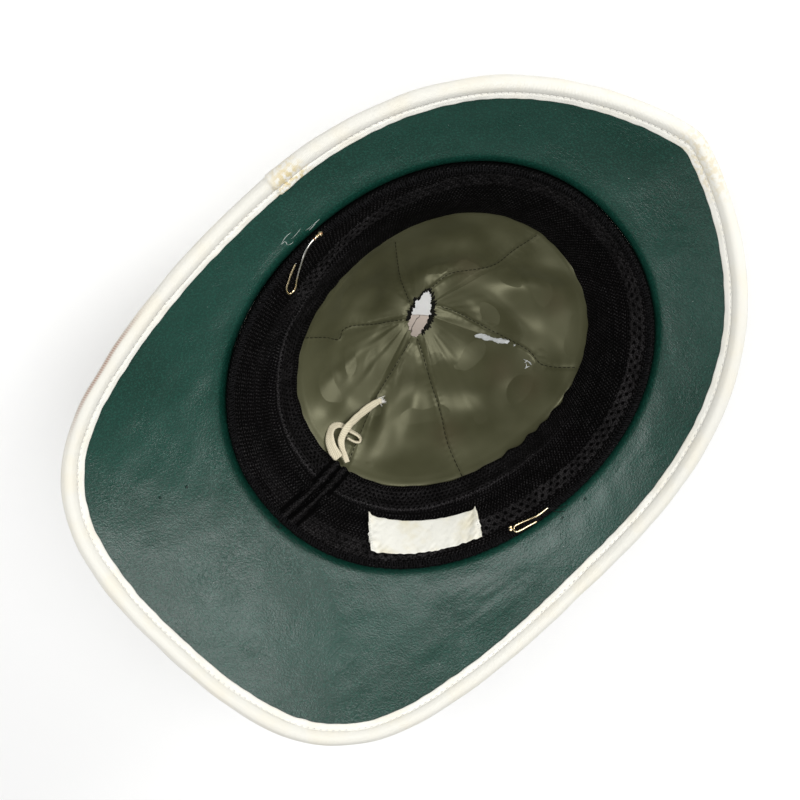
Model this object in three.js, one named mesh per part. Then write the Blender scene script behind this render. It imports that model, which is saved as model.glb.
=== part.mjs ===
// A pith sun helmet, lying crown-down on the flat of its ventilator button.
// Millimetres. The hat is upside down: +Z points out of the head opening, +Y to the front peak
// and +X to the right of somebody who looks into the opening with the peak at the top.
import * as THREE from 'three';

// Heights above the surface that the button stands on
const APEX_LEVEL = 10;
const BAND_LEVEL = 132;
const BAND_DEPTH = 35;
const SHOULDER_LEVEL = 108;
const HOLE_LEVEL = 55;
const RIM_LEVEL = { front: 152, side: 142, rear: 177 };

// Outer edge of the brim: reach from the hat's axis, by bearing in degrees from the front
const OUTLINE = [
  { bearing: 0, reach: 161.3 },
  { bearing: 4, reach: 159.3 },
  { bearing: 10, reach: 155.4 },
  { bearing: 20, reach: 149.2 },
  { bearing: 35, reach: 141.0 },
  { bearing: 50, reach: 132.7 },
  { bearing: 65, reach: 126.0 },
  { bearing: 80, reach: 122.4 },
  { bearing: 90, reach: 122.2 },
  { bearing: 100, reach: 124.6 },
  { bearing: 110, reach: 130.1 },
  { bearing: 120, reach: 138.9 },
  { bearing: 130, reach: 151.2 },
  { bearing: 140, reach: 166.6 },
  { bearing: 147, reach: 175.5 },
  { bearing: 156, reach: 180.3 },
  { bearing: 168, reach: 178.0 },
  { bearing: 180, reach: 175.6 },
];

// Ovals, as half their length and half their width, and the few degrees by which their length is
// turned from the hat's, towards +X at the front
const BAND_OVAL = { length: 105.6, width: 87.2 };
const BAND_MOUTH = { length: 75.1, width: 59.6, forward: 2.1 };
const OVAL_FULLNESS = 2.12;
const OVAL_TURN = 4;

// Walls and gaps
const GAP = 0.3;
const SHELL_WALL = 4.2;
const BRIM_WALL = 2.8;
const FACING_WALL = 0.9;
const BAND_WALL = 2.2;
const LEAF_WALL = 1.2;
const LINING_WALL = 1.4;
const LABEL_WALL = 0.8;

// Crown and brim shape
const DOME_FULLNESS = 2.4;
const OPENING_ROLL = 6;
const CROWN_FILLET = 8;
const BRIM_CURVE = 1.2;
const BRIM_STACK = BRIM_WALL + GAP + FACING_WALL;
const BEAD_RADIUS = 3.25;

// Rows of corners along the brim, as shares of the way from the crown opening to the rim
const BRIM_ROWS = [1, 0.7, 0.4, 0.15];
const UNDERSIDE_ROWS = [0.35, 0.7, 1];

// Half the section of the binding: out along the brim from the middle of the roll, off square
// to the brim. The flat strip comes first, then the stitched groove and the roll.
const BINDING_SECTION = [
  { out: -6.7, off: 2.35 },
  { out: -6.5, off: 3.2 },
  { out: -3.9, off: 3.2 },
  { out: -3.3, off: 2.75 },
  { out: -2.4, off: 3.4 },
  { out: 0.4, off: 3.6 },
  { out: 2.5, off: 2.3 },
];
const BINDING_TIP = { out: BEAD_RADIUS, off: 0 };
const BRIM_EDGE_OUT = 0.4;

// Headband: the folded edge, the leaf that stands against the crown, and the face's soft bulge.
// The fold's inside ends at a share of the way across the face, and below the fold on the leaf.
const FOLD_WIDTH = 3.2;
const FOLD_CREST = 0.6;
const FOLD_TURN = 2;
const FOLD_INSIDE = { across: 0.14, below: 5 };
const BAND_MIDDLE = 0.4;
const LEAF_HEIGHT = 14;
const BAND_BULGE = 1.6;

// Lining: seams by bearing, with the sag of the panel that follows each one
const LINING_PANELS = [
  { seam: -131, sag: 4.5 },
  { seam: -66, sag: 4.0 },
  { seam: -5, sag: 3.5 },
  { seam: 53, sag: 5.0 },
  { seam: 126, sag: 4.0 },
  { seam: 176, sag: 3.5 },
];
const LINING_ROWS = [0, 0.25, 0.5, 0.75, 1];
const LINING_CURVE = 1.5;
const HEM_START = 0.8;
const HOLE = { x: -14, y: 2.4, halfLength: 12, halfWidth: 4.8, bearing: -27 };

// Hatband: how far each fold stands off the crown, by height
const HATBAND_FOLDS = [
  { level: 90, off: 1.2 },
  { level: 91, off: 2.2 },
  { level: 99, off: 1.6 },
  { level: 100, off: 2.6 },
  { level: 108, off: 1.8 },
  { level: 109, off: 2.8 },
  { level: 117, off: 2.2 },
];

// Ventilator button, as its half profile from the flat face up to the crown
const BUTTON = [
  { radius: 0, level: 0 },
  { radius: 16, level: 0 },
  { radius: 18.4, level: 1.2 },
  { radius: 19.2, level: 3.6 },
  { radius: 18, level: 6.0 },
  { radius: 12, level: 7.4 },
  { radius: 11, level: APEX_LEVEL - GAP },
  { radius: 0, level: APEX_LEVEL - GAP },
];

// The label on the headband: its two ends by bearing, and its edges as shares across the band
const LABEL = {
  side: 120.2,
  rearAtFoot: 154.7,
  rearAtTop: 159.1,
  topAtSide: 0.47,
  topAtRear: 0.54,
  foot: 0.11,
};

// The lining's drawstring: its two ends come out at the mouth of the headband, the left one
// passes under the right one, and a flat bight of it lies beyond. Routes as [x, y, height].
const CORD_DIAMETER = 3.6;
const BIGHT_DIAMETER = 2.6;
const CORD_LEFT = [
  [2.9, -64.1, 95.4],
  [0.8, -63.9, 95.2],
  [-2.2, -63.1, 94.5],
  [-5.6, -61.5, 93.1],
  [-8.2, -59.1, 91.1],
  [-9.1, -56.5, 88.8],
  [-7.8, -54.1, 86.7],
  [-5.0, -52.8, 85.7],
  [-1.9, -52.4, 85.2],
];
const CORD_RIGHT = [
  [7.6, -62.7, 94.4],
  [3.7, -61.1, 93.0],
  [0.5, -59.6, 91.6],
  [-1.9, -57.6, 90.7],
  [-3.4, -54.5, 90.6],
  [-4.1, -50.9, 89.3],
  [-3.7, -47.3, 85.1],
  [-2.7, -43.4, 80.1],
  [-1.5, -39.2, 75.6],
  [-0.1, -35.4, 72.3],
  [1.0, -33.4, 70.8],
];
const CORD_BIGHT = [
  [-0.9, -52.2, 84.8],
  [1.2, -51.8, 84.4],
  [3.6, -51.4, 84.0],
  [5.5, -51.8, 84.3],
  [5.9, -53.1, 85.4],
  [4.4, -54.3, 86.4],
  [1.8, -55.1, 87.0],
  [-0.1, -55.5, 87.3],
];

// The wire hooks: along the headband's fold, down its face to a narrow bend and back up to a
// free end
const HOOK_WIRE = 1.2;
const HOOK_LEFT = [
  { bearing: -84.6, reach: 85.6, level: 133.7 },
  { bearing: -85.5, reach: 85.5, level: 133.7 },
  { bearing: -86.8, reach: 85.5, level: 133.7 },
  { bearing: -88.2, reach: 85.6, level: 133.7 },
  { bearing: -89.4, reach: 85.4, level: 133.7 },
  { bearing: -91.7, reach: 84.7, level: 133.5 },
  { bearing: -94.8, reach: 83.1, level: 132.3 },
  { bearing: -98.5, reach: 81.1, level: 129.1 },
  { bearing: -102.6, reach: 79.0, level: 126.1 },
  { bearing: -106.3, reach: 77.4, level: 123.4 },
  { bearing: -108.2, reach: 78.6, level: 124.4 },
  { bearing: -107.1, reach: 80.8, level: 127.2 },
  { bearing: -103.5, reach: 82.2, level: 129.5 },
  { bearing: -100.3, reach: 83.3, level: 131.4 },
  { bearing: -97.4, reach: 84.2, level: 133.2 },
];
const HOOK_RIGHT = [
  { bearing: 96.3, reach: 83.5, level: 133.2 },
  { bearing: 98.7, reach: 83.7, level: 133.2 },
  { bearing: 100.7, reach: 83.8, level: 133.2 },
  { bearing: 103.8, reach: 83.5, level: 132.4 },
  { bearing: 107.0, reach: 83.3, level: 131.7 },
  { bearing: 108.9, reach: 83.5, level: 131.7 },
  { bearing: 109.6, reach: 84.3, level: 132.4 },
  { bearing: 109.4, reach: 85.6, level: 133.4 },
  { bearing: 108.0, reach: 86.0, level: 133.6 },
  { bearing: 105.2, reach: 85.8, level: 133.7 },
  { bearing: 101.8, reach: 85.9, level: 133.8 },
];

// Faces of the round shapes
const STEPS_ROUND = 52;
const DOME_STEPS = { outside: 7, inside: 6 };
const ARC_STEPS = 3;
const BUTTON_SIDES = 24;
const LABEL_STEPS = 8;
const CORD_SIDES = 8;
const CORD_STEPS = { left: 14, right: 18, bight: 14 };
const HOOK_SIDES = 6;
const HOOK_STEPS = 24;

const AXIS_Y = (OUTLINE.at(-1).reach - OUTLINE[0].reach) / 2;

const DEGREES = Math.PI / 180;
const mix = THREE.MathUtils.lerp;

// A point of the hat, from its bearing about the hat's axis, its reach from it and its height
function place(bearing, reach, height) {
  const angle = bearing * DEGREES;
  return new THREE.Vector3(reach * Math.sin(angle), AXIS_Y + reach * Math.cos(angle), height);
}

// Reach of a slightly squared oval at a bearing
function oval(size, bearing, margin = 0) {
  const angle = (bearing - OVAL_TURN) * DEGREES;
  const along = Math.abs(Math.cos(angle)) / (size.length + margin);
  const across = Math.abs(Math.sin(angle)) / (size.width + margin);
  const forward = (size.forward ?? 0) * Math.cos(bearing * DEGREES);
  return (along ** OVAL_FULLNESS + across ** OVAL_FULLNESS) ** (-1 / OVAL_FULLNESS) + forward;
}

// Slope of the outline at one of its rows; the outline is the same on both sides of the hat
function outlineSlope(row) {
  if (row === 0 || row === OUTLINE.length - 1) {
    return 0;
  }
  const before = OUTLINE[row - 1];
  const after = OUTLINE[row + 1];
  return (after.reach - before.reach) / (after.bearing - before.bearing);
}

// Reach of the brim's outer edge, on a smooth curve through the outline's rows
function rimReach(bearing) {
  const turn = Math.abs(THREE.MathUtils.euclideanModulo(bearing + 180, 360) - 180);
  const found = OUTLINE.findIndex((row) => row.bearing >= turn);
  const next = Math.max(1, found);
  const low = OUTLINE[next - 1];
  const high = OUTLINE[next];
  const span = high.bearing - low.bearing;
  const t = (turn - low.bearing) / span;
  const rise = high.reach - low.reach;
  const start = outlineSlope(next - 1) * span;
  const end = outlineSlope(next) * span;
  return low.reach + t * start + t * t * (3 * rise - 2 * start - end)
    + t * t * t * (start + end - 2 * rise);
}

// Height of the middle of the rim's roll
function rimLevel(bearing) {
  const ahead = Math.cos(bearing * DEGREES);
  const end = ahead > 0 ? RIM_LEVEL.front : RIM_LEVEL.rear;
  return mix(RIM_LEVEL.side, end, ahead * ahead);
}

// How much longer a cut through the edge is on the bearing than square to the edge
function edgeSkew(bearing) {
  const turn = 0.5;
  const change = (rimReach(bearing + turn) - rimReach(bearing - turn)) / (2 * turn * DEGREES);
  return Math.hypot(1, change / rimReach(bearing));
}

const crownInside = (bearing) => oval(BAND_OVAL, bearing, GAP + FACING_WALL + GAP);
const crownOutside = (bearing) => oval(BAND_OVAL, bearing, 2 * GAP + FACING_WALL + SHELL_WALL);

// Where the brim's middle surface starts, at the crown opening, and where it ends, in the roll
function brimEnds(bearing) {
  const topOfShell = BRIM_WALL - BRIM_STACK / 2;
  return {
    start: crownInside(bearing) + OPENING_ROLL,
    low: BAND_LEVEL - FACING_WALL - 2 * GAP - topOfShell,
    end: rimReach(bearing) - BEAD_RADIUS * edgeSkew(bearing),
    high: rimLevel(bearing),
  };
}

// A point near the brim's middle surface, as [reach, height]. along runs from 0 at the crown
// opening to 1 in the middle of the rim's roll, rise is square to the surface, towards the
// wearer, and beyond is a distance further out along it.
function brimPoint(bearing, along, rise, beyond = 0) {
  const { start, low, end, high } = brimEnds(bearing);
  const slope = brimSlope(bearing, along);
  const skew = edgeSkew(bearing);
  const reach = mix(start, end, along);
  const height = mix(low, high, along ** BRIM_CURVE);
  return [
    reach + skew * (beyond * Math.cos(slope) - rise * Math.sin(slope)),
    height + beyond * Math.sin(slope) + rise * Math.cos(slope),
  ];
}

function brimSlope(bearing, along) {
  const { start, low, end, high } = brimEnds(bearing);
  const steepness = BRIM_CURVE * along ** (BRIM_CURVE - 1) * edgeSkew(bearing);
  return Math.atan((steepness * (high - low)) / (end - start));
}

// Points of an arc about [reach, height], with angles in degrees from straight out
function arc([reach, height], radius, from, to) {
  return Array.from({ length: ARC_STEPS + 1 }, (_, i) => {
    const angle = mix(from, to, i / ARC_STEPS) * DEGREES;
    return [reach + radius * Math.cos(angle), height + radius * Math.sin(angle)];
  });
}

// Points of a dome, from its top to its foot
function dome(radius, top, foot, steps) {
  const power = 2 / DOME_FULLNESS;
  return Array.from({ length: steps + 1 }, (_, i) => {
    const angle = (i / steps) * 90 * DEGREES;
    const height = foot - (foot - top) * Math.cos(angle) ** power;
    return [radius * Math.sin(angle) ** power, i === steps ? foot : height];
  });
}

// Reach of the crown's outer wall at a height
function crownReachAt(bearing, level) {
  const share = Math.max(0, (SHOULDER_LEVEL - level) / (SHOULDER_LEVEL - APEX_LEVEL));
  const power = DOME_FULLNESS;
  return crownOutside(bearing) * (1 - share ** power) ** (1 / power);
}

// Where the crown's outer wall meets the fillet under the brim, and where the fillet ends, found
// by going back and forth between the fillet's place and the brim's slope there
function crownFoot(bearing) {
  const { start, end } = brimEnds(bearing);
  const below = -BRIM_STACK / 2;
  const passes = 12;
  let along = 0;
  for (let pass = 0; pass < passes; pass += 1) {
    const slope = brimSlope(bearing, along);
    const reach = crownOutside(bearing) + CROWN_FILLET * (1 - Math.sin(slope));
    along = (reach + below * edgeSkew(bearing) * Math.sin(slope) - start) / (end - start);
  }
  const slope = brimSlope(bearing, along);
  const level = brimPoint(bearing, along, below)[1] - CROWN_FILLET * Math.cos(slope);
  return { along, slope, level };
}

// Section of the shell, from the top of the crown outside, round the rim, to the top inside
function shellSection(bearing) {
  const below = -BRIM_STACK / 2;
  const above = BRIM_WALL - BRIM_STACK / 2;
  const foot = crownFoot(bearing);
  const outside = crownOutside(bearing);
  const inside = crownInside(bearing);
  const rollLevel = brimEnds(bearing).low + above - OPENING_ROLL;
  const slopeAngle = foot.slope / DEGREES;
  const filletCentre = [outside + CROWN_FILLET, foot.level];
  const fillet = arc(filletCentre, CROWN_FILLET, 180, 90 + slopeAngle);
  const under = UNDERSIDE_ROWS.map((t) => brimPoint(bearing, mix(foot.along, 1, t), below));
  const over = BRIM_ROWS.map((t) => brimPoint(bearing, t, above));
  const roll = arc([inside + OPENING_ROLL, rollLevel], OPENING_ROLL, 90, 180);
  return [
    ...dome(outside, APEX_LEVEL, SHOULDER_LEVEL, DOME_STEPS.outside),
    ...fillet,
    ...under,
    ...over,
    ...roll,
    ...dome(inside, APEX_LEVEL + SHELL_WALL, SHOULDER_LEVEL, DOME_STEPS.inside).reverse(),
  ];
}

// Section of the facing under the brim, with its edge turned into the crown opening
function facingSection(bearing) {
  const inside = crownInside(bearing);
  const rollLevel = brimEnds(bearing).low + BRIM_WALL - BRIM_STACK / 2 - OPENING_ROLL;
  const centre = [inside + OPENING_ROLL, rollLevel];
  const hem = rollLevel - LEAF_HEIGHT;
  const face = BRIM_STACK / 2;
  const back = face - FACING_WALL;
  const under = BRIM_ROWS.map((t) => brimPoint(bearing, t, back));
  const over = BRIM_ROWS.map((t) => brimPoint(bearing, t, face));
  const turnedUnder = arc(centre, OPENING_ROLL + GAP, 90, 180);
  const turnedOver = arc(centre, OPENING_ROLL + GAP + FACING_WALL, 90, 180);
  return [
    ...over,
    ...turnedOver,
    [inside - GAP - FACING_WALL, hem],
    [inside - GAP, hem],
    ...turnedUnder.reverse(),
    ...under.reverse(),
  ];
}

// Section of the binding, which is folded round the edges of the brim and its facing
function bindingSection(bearing) {
  const near = [...BINDING_SECTION, BINDING_TIP];
  const far = BINDING_SECTION.map(({ out, off }) => ({ out, off: -off })).reverse();
  const slit = BINDING_SECTION[0].off;
  const inner = [{ out: BRIM_EDGE_OUT, off: -slit }, { out: BRIM_EDGE_OUT, off: slit }];
  return [...near, ...far, ...inner].reverse()
    .map(({ out, off }) => brimPoint(bearing, 1, off, out));
}

// A point near the headband's visible face, as [reach, height]: across runs from 0 at the
// folded edge to 1 at the band's mouth, and rise is square to the face, towards the wearer
function bandPoint(bearing, across, rise = 0) {
  const foldReach = oval(BAND_OVAL, bearing) - FOLD_WIDTH;
  const mouthReach = oval(BAND_MOUTH, bearing);
  const run = foldReach - mouthReach;
  const length = Math.hypot(run, BAND_DEPTH);
  const lift = rise + BAND_BULGE * Math.sin(Math.PI * across);
  return [
    foldReach - run * across - (lift * BAND_DEPTH) / length,
    BAND_LEVEL - BAND_DEPTH * across + (lift * run) / length,
  ];
}

// Section of the headband: the leaf against the crown, the fold, and the slanting face
function headbandSection(bearing) {
  const outer = oval(BAND_OVAL, bearing);
  const leafFoot = BAND_LEVEL - LEAF_HEIGHT;
  const face = [0, BAND_MIDDLE, HEM_START, 1];
  const back = [1, HEM_START, BAND_MIDDLE, FOLD_INSIDE.across];
  return [
    [outer, leafFoot],
    [outer, BAND_LEVEL - FOLD_TURN],
    [outer - FOLD_WIDTH / 2, BAND_LEVEL + FOLD_CREST],
    ...face.map((across) => bandPoint(bearing, across)),
    ...back.map((across) => bandPoint(bearing, across, -BAND_WALL)),
    [outer - LEAF_WALL, BAND_LEVEL - FOLD_INSIDE.below],
    [outer - LEAF_WALL, leafFoot],
  ];
}

// How far a panel of the lining hangs below the straight line between its seams
function liningSag(bearing) {
  const seams = LINING_PANELS.map((panel) => panel.seam);
  const turn = THREE.MathUtils.euclideanModulo(bearing - seams[0], 360) + seams[0];
  const index = seams.findLastIndex((seam) => seam <= turn);
  const next = seams[index + 1] ?? seams[0] + 360;
  const share = (turn - seams[index]) / (next - seams[index]);
  return LINING_PANELS[index].sag * Math.sin(Math.PI * share);
}

// Edge of the lining's hole in the direction of a bearing
function holeEdge(bearing) {
  const angle = (bearing - HOLE.bearing) * DEGREES;
  const shape = { length: HOLE.halfLength, width: HOLE.halfWidth };
  const reach = 1 / Math.hypot(Math.cos(angle) / shape.length, Math.sin(angle) / shape.width);
  return new THREE.Vector3(
    HOLE.x + reach * Math.sin(bearing * DEGREES),
    AXIS_Y + HOLE.y + reach * Math.cos(bearing * DEGREES),
    HOLE_LEVEL);
}

// A point of the lining's visible face: inwards runs from 0 at the band's mouth to 1 at the hole
function liningPoint(bearing, inwards) {
  const start = place(bearing, ...bandPoint(bearing, 1, -BAND_WALL - GAP));
  const end = holeEdge(bearing);
  const point = start.clone().lerp(end, inwards);
  const drop = 1 - (1 - inwards) ** LINING_CURVE;
  point.z = mix(start.z, end.z, drop) - liningSag(bearing) * Math.sin(Math.PI * inwards);
  return point;
}

// Corners of the lining's section: the hem behind the band, the face, and the back
function liningSection(bearing) {
  const hem = place(bearing, ...bandPoint(bearing, HEM_START, -BAND_WALL - GAP));
  const face = [hem, ...LINING_ROWS.map((t) => liningPoint(bearing, t))];
  const back = face.map((point) => point.clone().setZ(point.z - LINING_WALL));
  return [...face, ...back.reverse()];
}

// Section of the hatband: its folds outside, and the crown's own shape inside
function hatbandSection(bearing) {
  const top = HATBAND_FOLDS.at(-1).level;
  const foot = HATBAND_FOLDS[0].level;
  const crown = [top, SHOULDER_LEVEL, foot].map((level) => ({ level, off: 0 }));
  return [...HATBAND_FOLDS, ...crown].map(({ level, off }) =>
    [crownReachAt(bearing, level) + GAP + off, level]);
}

// A closed surface whose section changes as it goes round the hat. A section is a list of
// corners, as points or as [reach, height], and closes on itself or runs from axis to axis.
// Each four-sided face is split along its shorter diagonal, so that neighbouring walls agree.
function roundTheHat(section, closes) {
  const rings = Array.from({ length: STEPS_ROUND }, (_, i) => {
    const bearing = (i * 360) / STEPS_ROUND;
    return section(bearing).map((corner) =>
      (corner.isVector3 ? corner : place(bearing, ...corner)));
  });
  const across = rings[0].length;
  const slices = closes ? across : across - 1;
  const corners = rings.flat();
  const faces = [];
  const samePoint = 1e-6;
  const addFace = (...face) => {
    const [a, b, c] = face.map((index) => corners[index]);
    const shortest = Math.min(a.distanceTo(b), b.distanceTo(c), c.distanceTo(a));
    if (shortest > samePoint) {
      faces.push(...face);
    }
  };
  for (let i = 0; i < STEPS_ROUND; i += 1) {
    const here = i * across;
    const next = ((i + 1) % STEPS_ROUND) * across;
    for (let j = 0; j < slices; j += 1) {
      const k = (j + 1) % across;
      const [a, b, c, d] = [here + j, here + k, next + k, next + j];
      if (corners[a].distanceTo(corners[c]) < corners[b].distanceTo(corners[d])) {
        addFace(a, b, c);
        addFace(a, c, d);
      } else {
        addFace(a, b, d);
        addFace(b, c, d);
      }
    }
  }
  const geometry = new THREE.BufferGeometry().setFromPoints(corners);
  geometry.setIndex(faces);
  geometry.computeVertexNormals();
  return geometry;
}

// The label: a thin plate bent onto the headband's face
function labelGeometry() {
  const plate = new THREE.BoxGeometry(1, 1, 1, LABEL_STEPS, 1, 1);
  const corner = plate.getAttribute('position');
  for (let i = 0; i < corner.count; i += 1) {
    const up = corner.getY(i) + 0.5;
    const rear = mix(LABEL.rearAtFoot, LABEL.rearAtTop, up);
    const sideways = corner.getX(i) + 0.5;
    const bearing = mix(rear, LABEL.side, sideways);
    const across = mix(LABEL.foot, mix(LABEL.topAtRear, LABEL.topAtSide, sideways), up);
    const rise = 2 * GAP + LABEL_WALL * (corner.getZ(i) + 0.5);
    const point = place(bearing, ...bandPoint(bearing, across, rise));
    corner.setXYZ(i, point.x, point.y, point.z);
  }
  return plate;
}

// A round bar along a smooth curve through its points
function barAlong(points, radius, sides, steps) {
  const section = new THREE.Shape(Array.from({ length: sides }, (_, i) => {
    const angle = (i * 2 * Math.PI) / sides;
    return new THREE.Vector2(radius * Math.cos(angle), radius * Math.sin(angle));
  }));
  const route = new THREE.CatmullRomCurve3(points, false, 'centripetal');
  return new THREE.ExtrudeGeometry(section, { steps, extrudePath: route });
}

function cordGeometry(route, diameter, steps) {
  const points = route.map((point) => new THREE.Vector3(...point));
  return barAlong(points, diameter / 2, CORD_SIDES, steps);
}

function hookGeometry(route) {
  const points = route.map(({ bearing, reach, level }) => place(bearing, reach, level));
  return barAlong(points, HOOK_WIRE / 2, HOOK_SIDES, HOOK_STEPS);
}

function buttonGeometry() {
  const profile = BUTTON.map(({ radius, level }) => new THREE.Vector2(radius, level));
  const turned = new THREE.LatheGeometry(profile, BUTTON_SIDES);
  turned.rotateX(90 * DEGREES);
  turned.translate(0, AXIS_Y, 0);
  return turned;
}

const helmet = new THREE.Group();

function add(name, geometry, colour, roughness, metalness = 0) {
  const material = new THREE.MeshStandardMaterial({ color: colour, roughness, metalness });
  const mesh = new THREE.Mesh(geometry, material);
  mesh.name = name;
  helmet.add(mesh);
}

const WHITE_CLOTH = 0xe9e7dc;
const GREEN_LEATHERCLOTH = 0x1f4436;
const BLACK_MESH = 0x141414;
const OLIVE_SATIN = 0x55563c;
const CREAM_COTTON = 0xe6dcc0;
const BRASS_WIRE = 0xb99a58;

add('shell', roundTheHat(shellSection, false), WHITE_CLOTH, 0.9);
add('vent_cap', buttonGeometry(), WHITE_CLOTH, 0.85);
add('hatband', roundTheHat(hatbandSection, true), WHITE_CLOTH, 0.9);
add('brim_facing', roundTheHat(facingSection, true), GREEN_LEATHERCLOTH, 0.45);
add('rim_binding', roundTheHat(bindingSection, true), WHITE_CLOTH, 0.85);
add('headband', roundTheHat(headbandSection, true), BLACK_MESH, 0.95);
add('lining', roundTheHat(liningSection, true), OLIVE_SATIN, 0.4);
add('label', labelGeometry(), WHITE_CLOTH, 0.8);
const leftCord = cordGeometry(CORD_LEFT, CORD_DIAMETER, CORD_STEPS.left);
const rightCord = cordGeometry(CORD_RIGHT, CORD_DIAMETER, CORD_STEPS.right);
const bight = cordGeometry(CORD_BIGHT, BIGHT_DIAMETER, CORD_STEPS.bight);
add('tie_cord_left', leftCord, CREAM_COTTON, 0.9);
add('tie_cord_right', rightCord, CREAM_COTTON, 0.9);
add('tie_knot', bight, CREAM_COTTON, 0.9);
add('hook_left', hookGeometry(HOOK_LEFT), BRASS_WIRE, 0.3, 1);
add('hook_right', hookGeometry(HOOK_RIGHT), BRASS_WIRE, 0.3, 1);

export default helmet;
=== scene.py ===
"""A pith sun helmet that lies crown-down, seen into its head opening.

The frame holds the solids. This script dresses them: the cloth cover, the green facing under the
brim, the bound rim, the mesh headband, the satin lining, the drawstring and the wire hooks.
Shapes are worked out in millimetres, in the frame's own axes, and a mesh is made in metres.
"""

import logging
import math
from dataclasses import dataclass
from enum import Enum
from typing import Any, Sequence

import bpy
import numpy as np
from mathutils import Matrix, Vector
from mathutils.bvhtree import BVHTree


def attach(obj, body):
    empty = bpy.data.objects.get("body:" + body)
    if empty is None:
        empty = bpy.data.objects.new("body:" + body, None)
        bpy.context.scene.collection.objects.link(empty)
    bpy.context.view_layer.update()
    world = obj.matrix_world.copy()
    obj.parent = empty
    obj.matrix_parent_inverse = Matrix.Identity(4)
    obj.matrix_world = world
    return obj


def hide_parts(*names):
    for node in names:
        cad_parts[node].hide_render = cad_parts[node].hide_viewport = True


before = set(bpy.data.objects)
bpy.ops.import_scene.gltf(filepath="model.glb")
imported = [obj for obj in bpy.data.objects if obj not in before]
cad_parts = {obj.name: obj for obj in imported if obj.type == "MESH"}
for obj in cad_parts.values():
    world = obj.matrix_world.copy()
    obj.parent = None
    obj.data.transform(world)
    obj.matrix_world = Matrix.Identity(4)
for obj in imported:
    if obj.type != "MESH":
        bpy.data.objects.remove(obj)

log = logging.getLogger("pith_helmet")

Array = np.ndarray
Piece = bpy.types.Object
Material = bpy.types.Material
Socket = bpy.types.NodeSocket
Pair = tuple[float, float]
Triple = tuple[float, float, float]
MM = 0.001
TURN = 2 * math.pi
UP = np.array([0.0, 0.0, 1.0])


class Slot(Enum):
    """The finishes that the record names."""

    COVER = "white_cloth"
    BINDING = "binding_cloth"
    FACING = "green_leathercloth"
    MESH = "black_mesh"
    SATIN = "olive_satin"
    LABEL = "label_cloth"
    COTTON = "cream_cotton"
    BRASS = "brass_wire"


class Side(Enum):
    """The side of the hat that a hook hangs on, as the sign of X."""

    LEFT = -1
    RIGHT = 1


# Curves and noise


def hermite(knots: Array, values: Array, slopes: Array, at: Array) -> Array:
    """A smooth curve through values.

    Args:
        knots: increasing parameters of the values.
        values: one value or point for each knot.
        slopes: the curve's slope at each knot.
        at: parameters to read the curve at.

    Returns:
        The values there.
    """
    span = np.clip(np.searchsorted(knots, at, side="right") - 1, 0, len(knots) - 2)
    width = knots[span + 1] - knots[span]
    t = (at - knots[span]) / width
    shape = t.shape + (1,) * (values.ndim - 1)
    t = t.reshape(shape)
    width = width.reshape(shape)
    rise = values[span + 1] - values[span]
    start = slopes[span] * width
    end = slopes[span + 1] * width
    return (values[span] + t * start + t**2 * (3 * rise - 2 * start - end) + t**3 * (start + end - 2 * rise))


def smooth_path(points: Sequence[Sequence[float]], count: int) -> Array:
    """A smooth curve through points, at even steps.

    Args:
        points: the points that it passes through.
        count: the number of points wanted.

    Returns:
        The curve's points, count by the points' own dimension.
    """
    given = np.asarray(points, float)
    knots = np.concatenate([[0], np.cumsum(np.linalg.norm(np.diff(given, axis=0), axis=1) ** 0.5)])
    fine = hermite(knots, given, np.gradient(given, knots, axis=0),
        np.linspace(0, knots[-1], 16 * len(given)))
    length = lengths(fine)
    return read_at(np.linspace(0, length[-1], count), length, fine)


def lengths(line: Array) -> Array:
    """How far along a line each of its points lies."""
    return np.append(0, np.cumsum(np.linalg.norm(np.diff(line, axis=0), axis=1)))


def read_at(at: Array, marks: Array, line: Array) -> Array:
    """The points of a line at some distances, of which marks are its own points'."""
    return np.stack([np.interp(at, marks, axis) for axis in line.T], -1)


def joined(*parts: Any) -> Array:
    """Arrays or numbers as the columns of one array."""
    return np.stack(np.broadcast_arrays(*parts), -1)


def unit(vectors: Array) -> Array:
    """Vectors with a length of 1."""
    return vectors / np.maximum(np.linalg.norm(vectors, axis=-1, keepdims=True), 1e-12)


def around(bearing: Array) -> Array:
    """A bearing between -180 and 180 degrees."""
    return (bearing + 180) % 360 - 180


def arch(value: Array) -> Array:
    """A half wave: 0 at 0 and 1, and 1 halfway."""
    return np.sin(math.pi * value)


def blend_in(low: float, high: float, value: Array) -> Array:
    """A smooth step from 0 at low to 1 at high."""
    t = np.clip((value - low) / (high - low), 0, 1)
    return t * t * (3 - 2 * t)


def bell(distance: Array, width: float) -> Array:
    """A smooth bump of height 1 that fades over width."""
    return np.exp(-((distance / width) ** 2))


@dataclass(frozen=True)
class Ripple:
    """Smooth seeded noise about zero, made of plane waves of like length."""

    seed: int
    wavelength: float
    waves: int = 26

    def at(self, points: Array) -> Array:
        """The noise at points.

        Args:
            points: points in millimetres, of any dimension.

        Returns:
            One value for each point, mostly between -1 and 1.
        """
        random = np.random.default_rng(self.seed)
        direction = unit(random.normal(size=(self.waves, points.shape[-1])))
        length = self.wavelength * random.uniform(0.7, 1.5, (self.waves, 1))
        phase = random.uniform(0, TURN, self.waves)
        waves = np.cos(points @ (direction * TURN / length).T + phase)
        return waves.sum(-1) / math.sqrt(self.waves / 2) * 0.6


# Meshes


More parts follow.
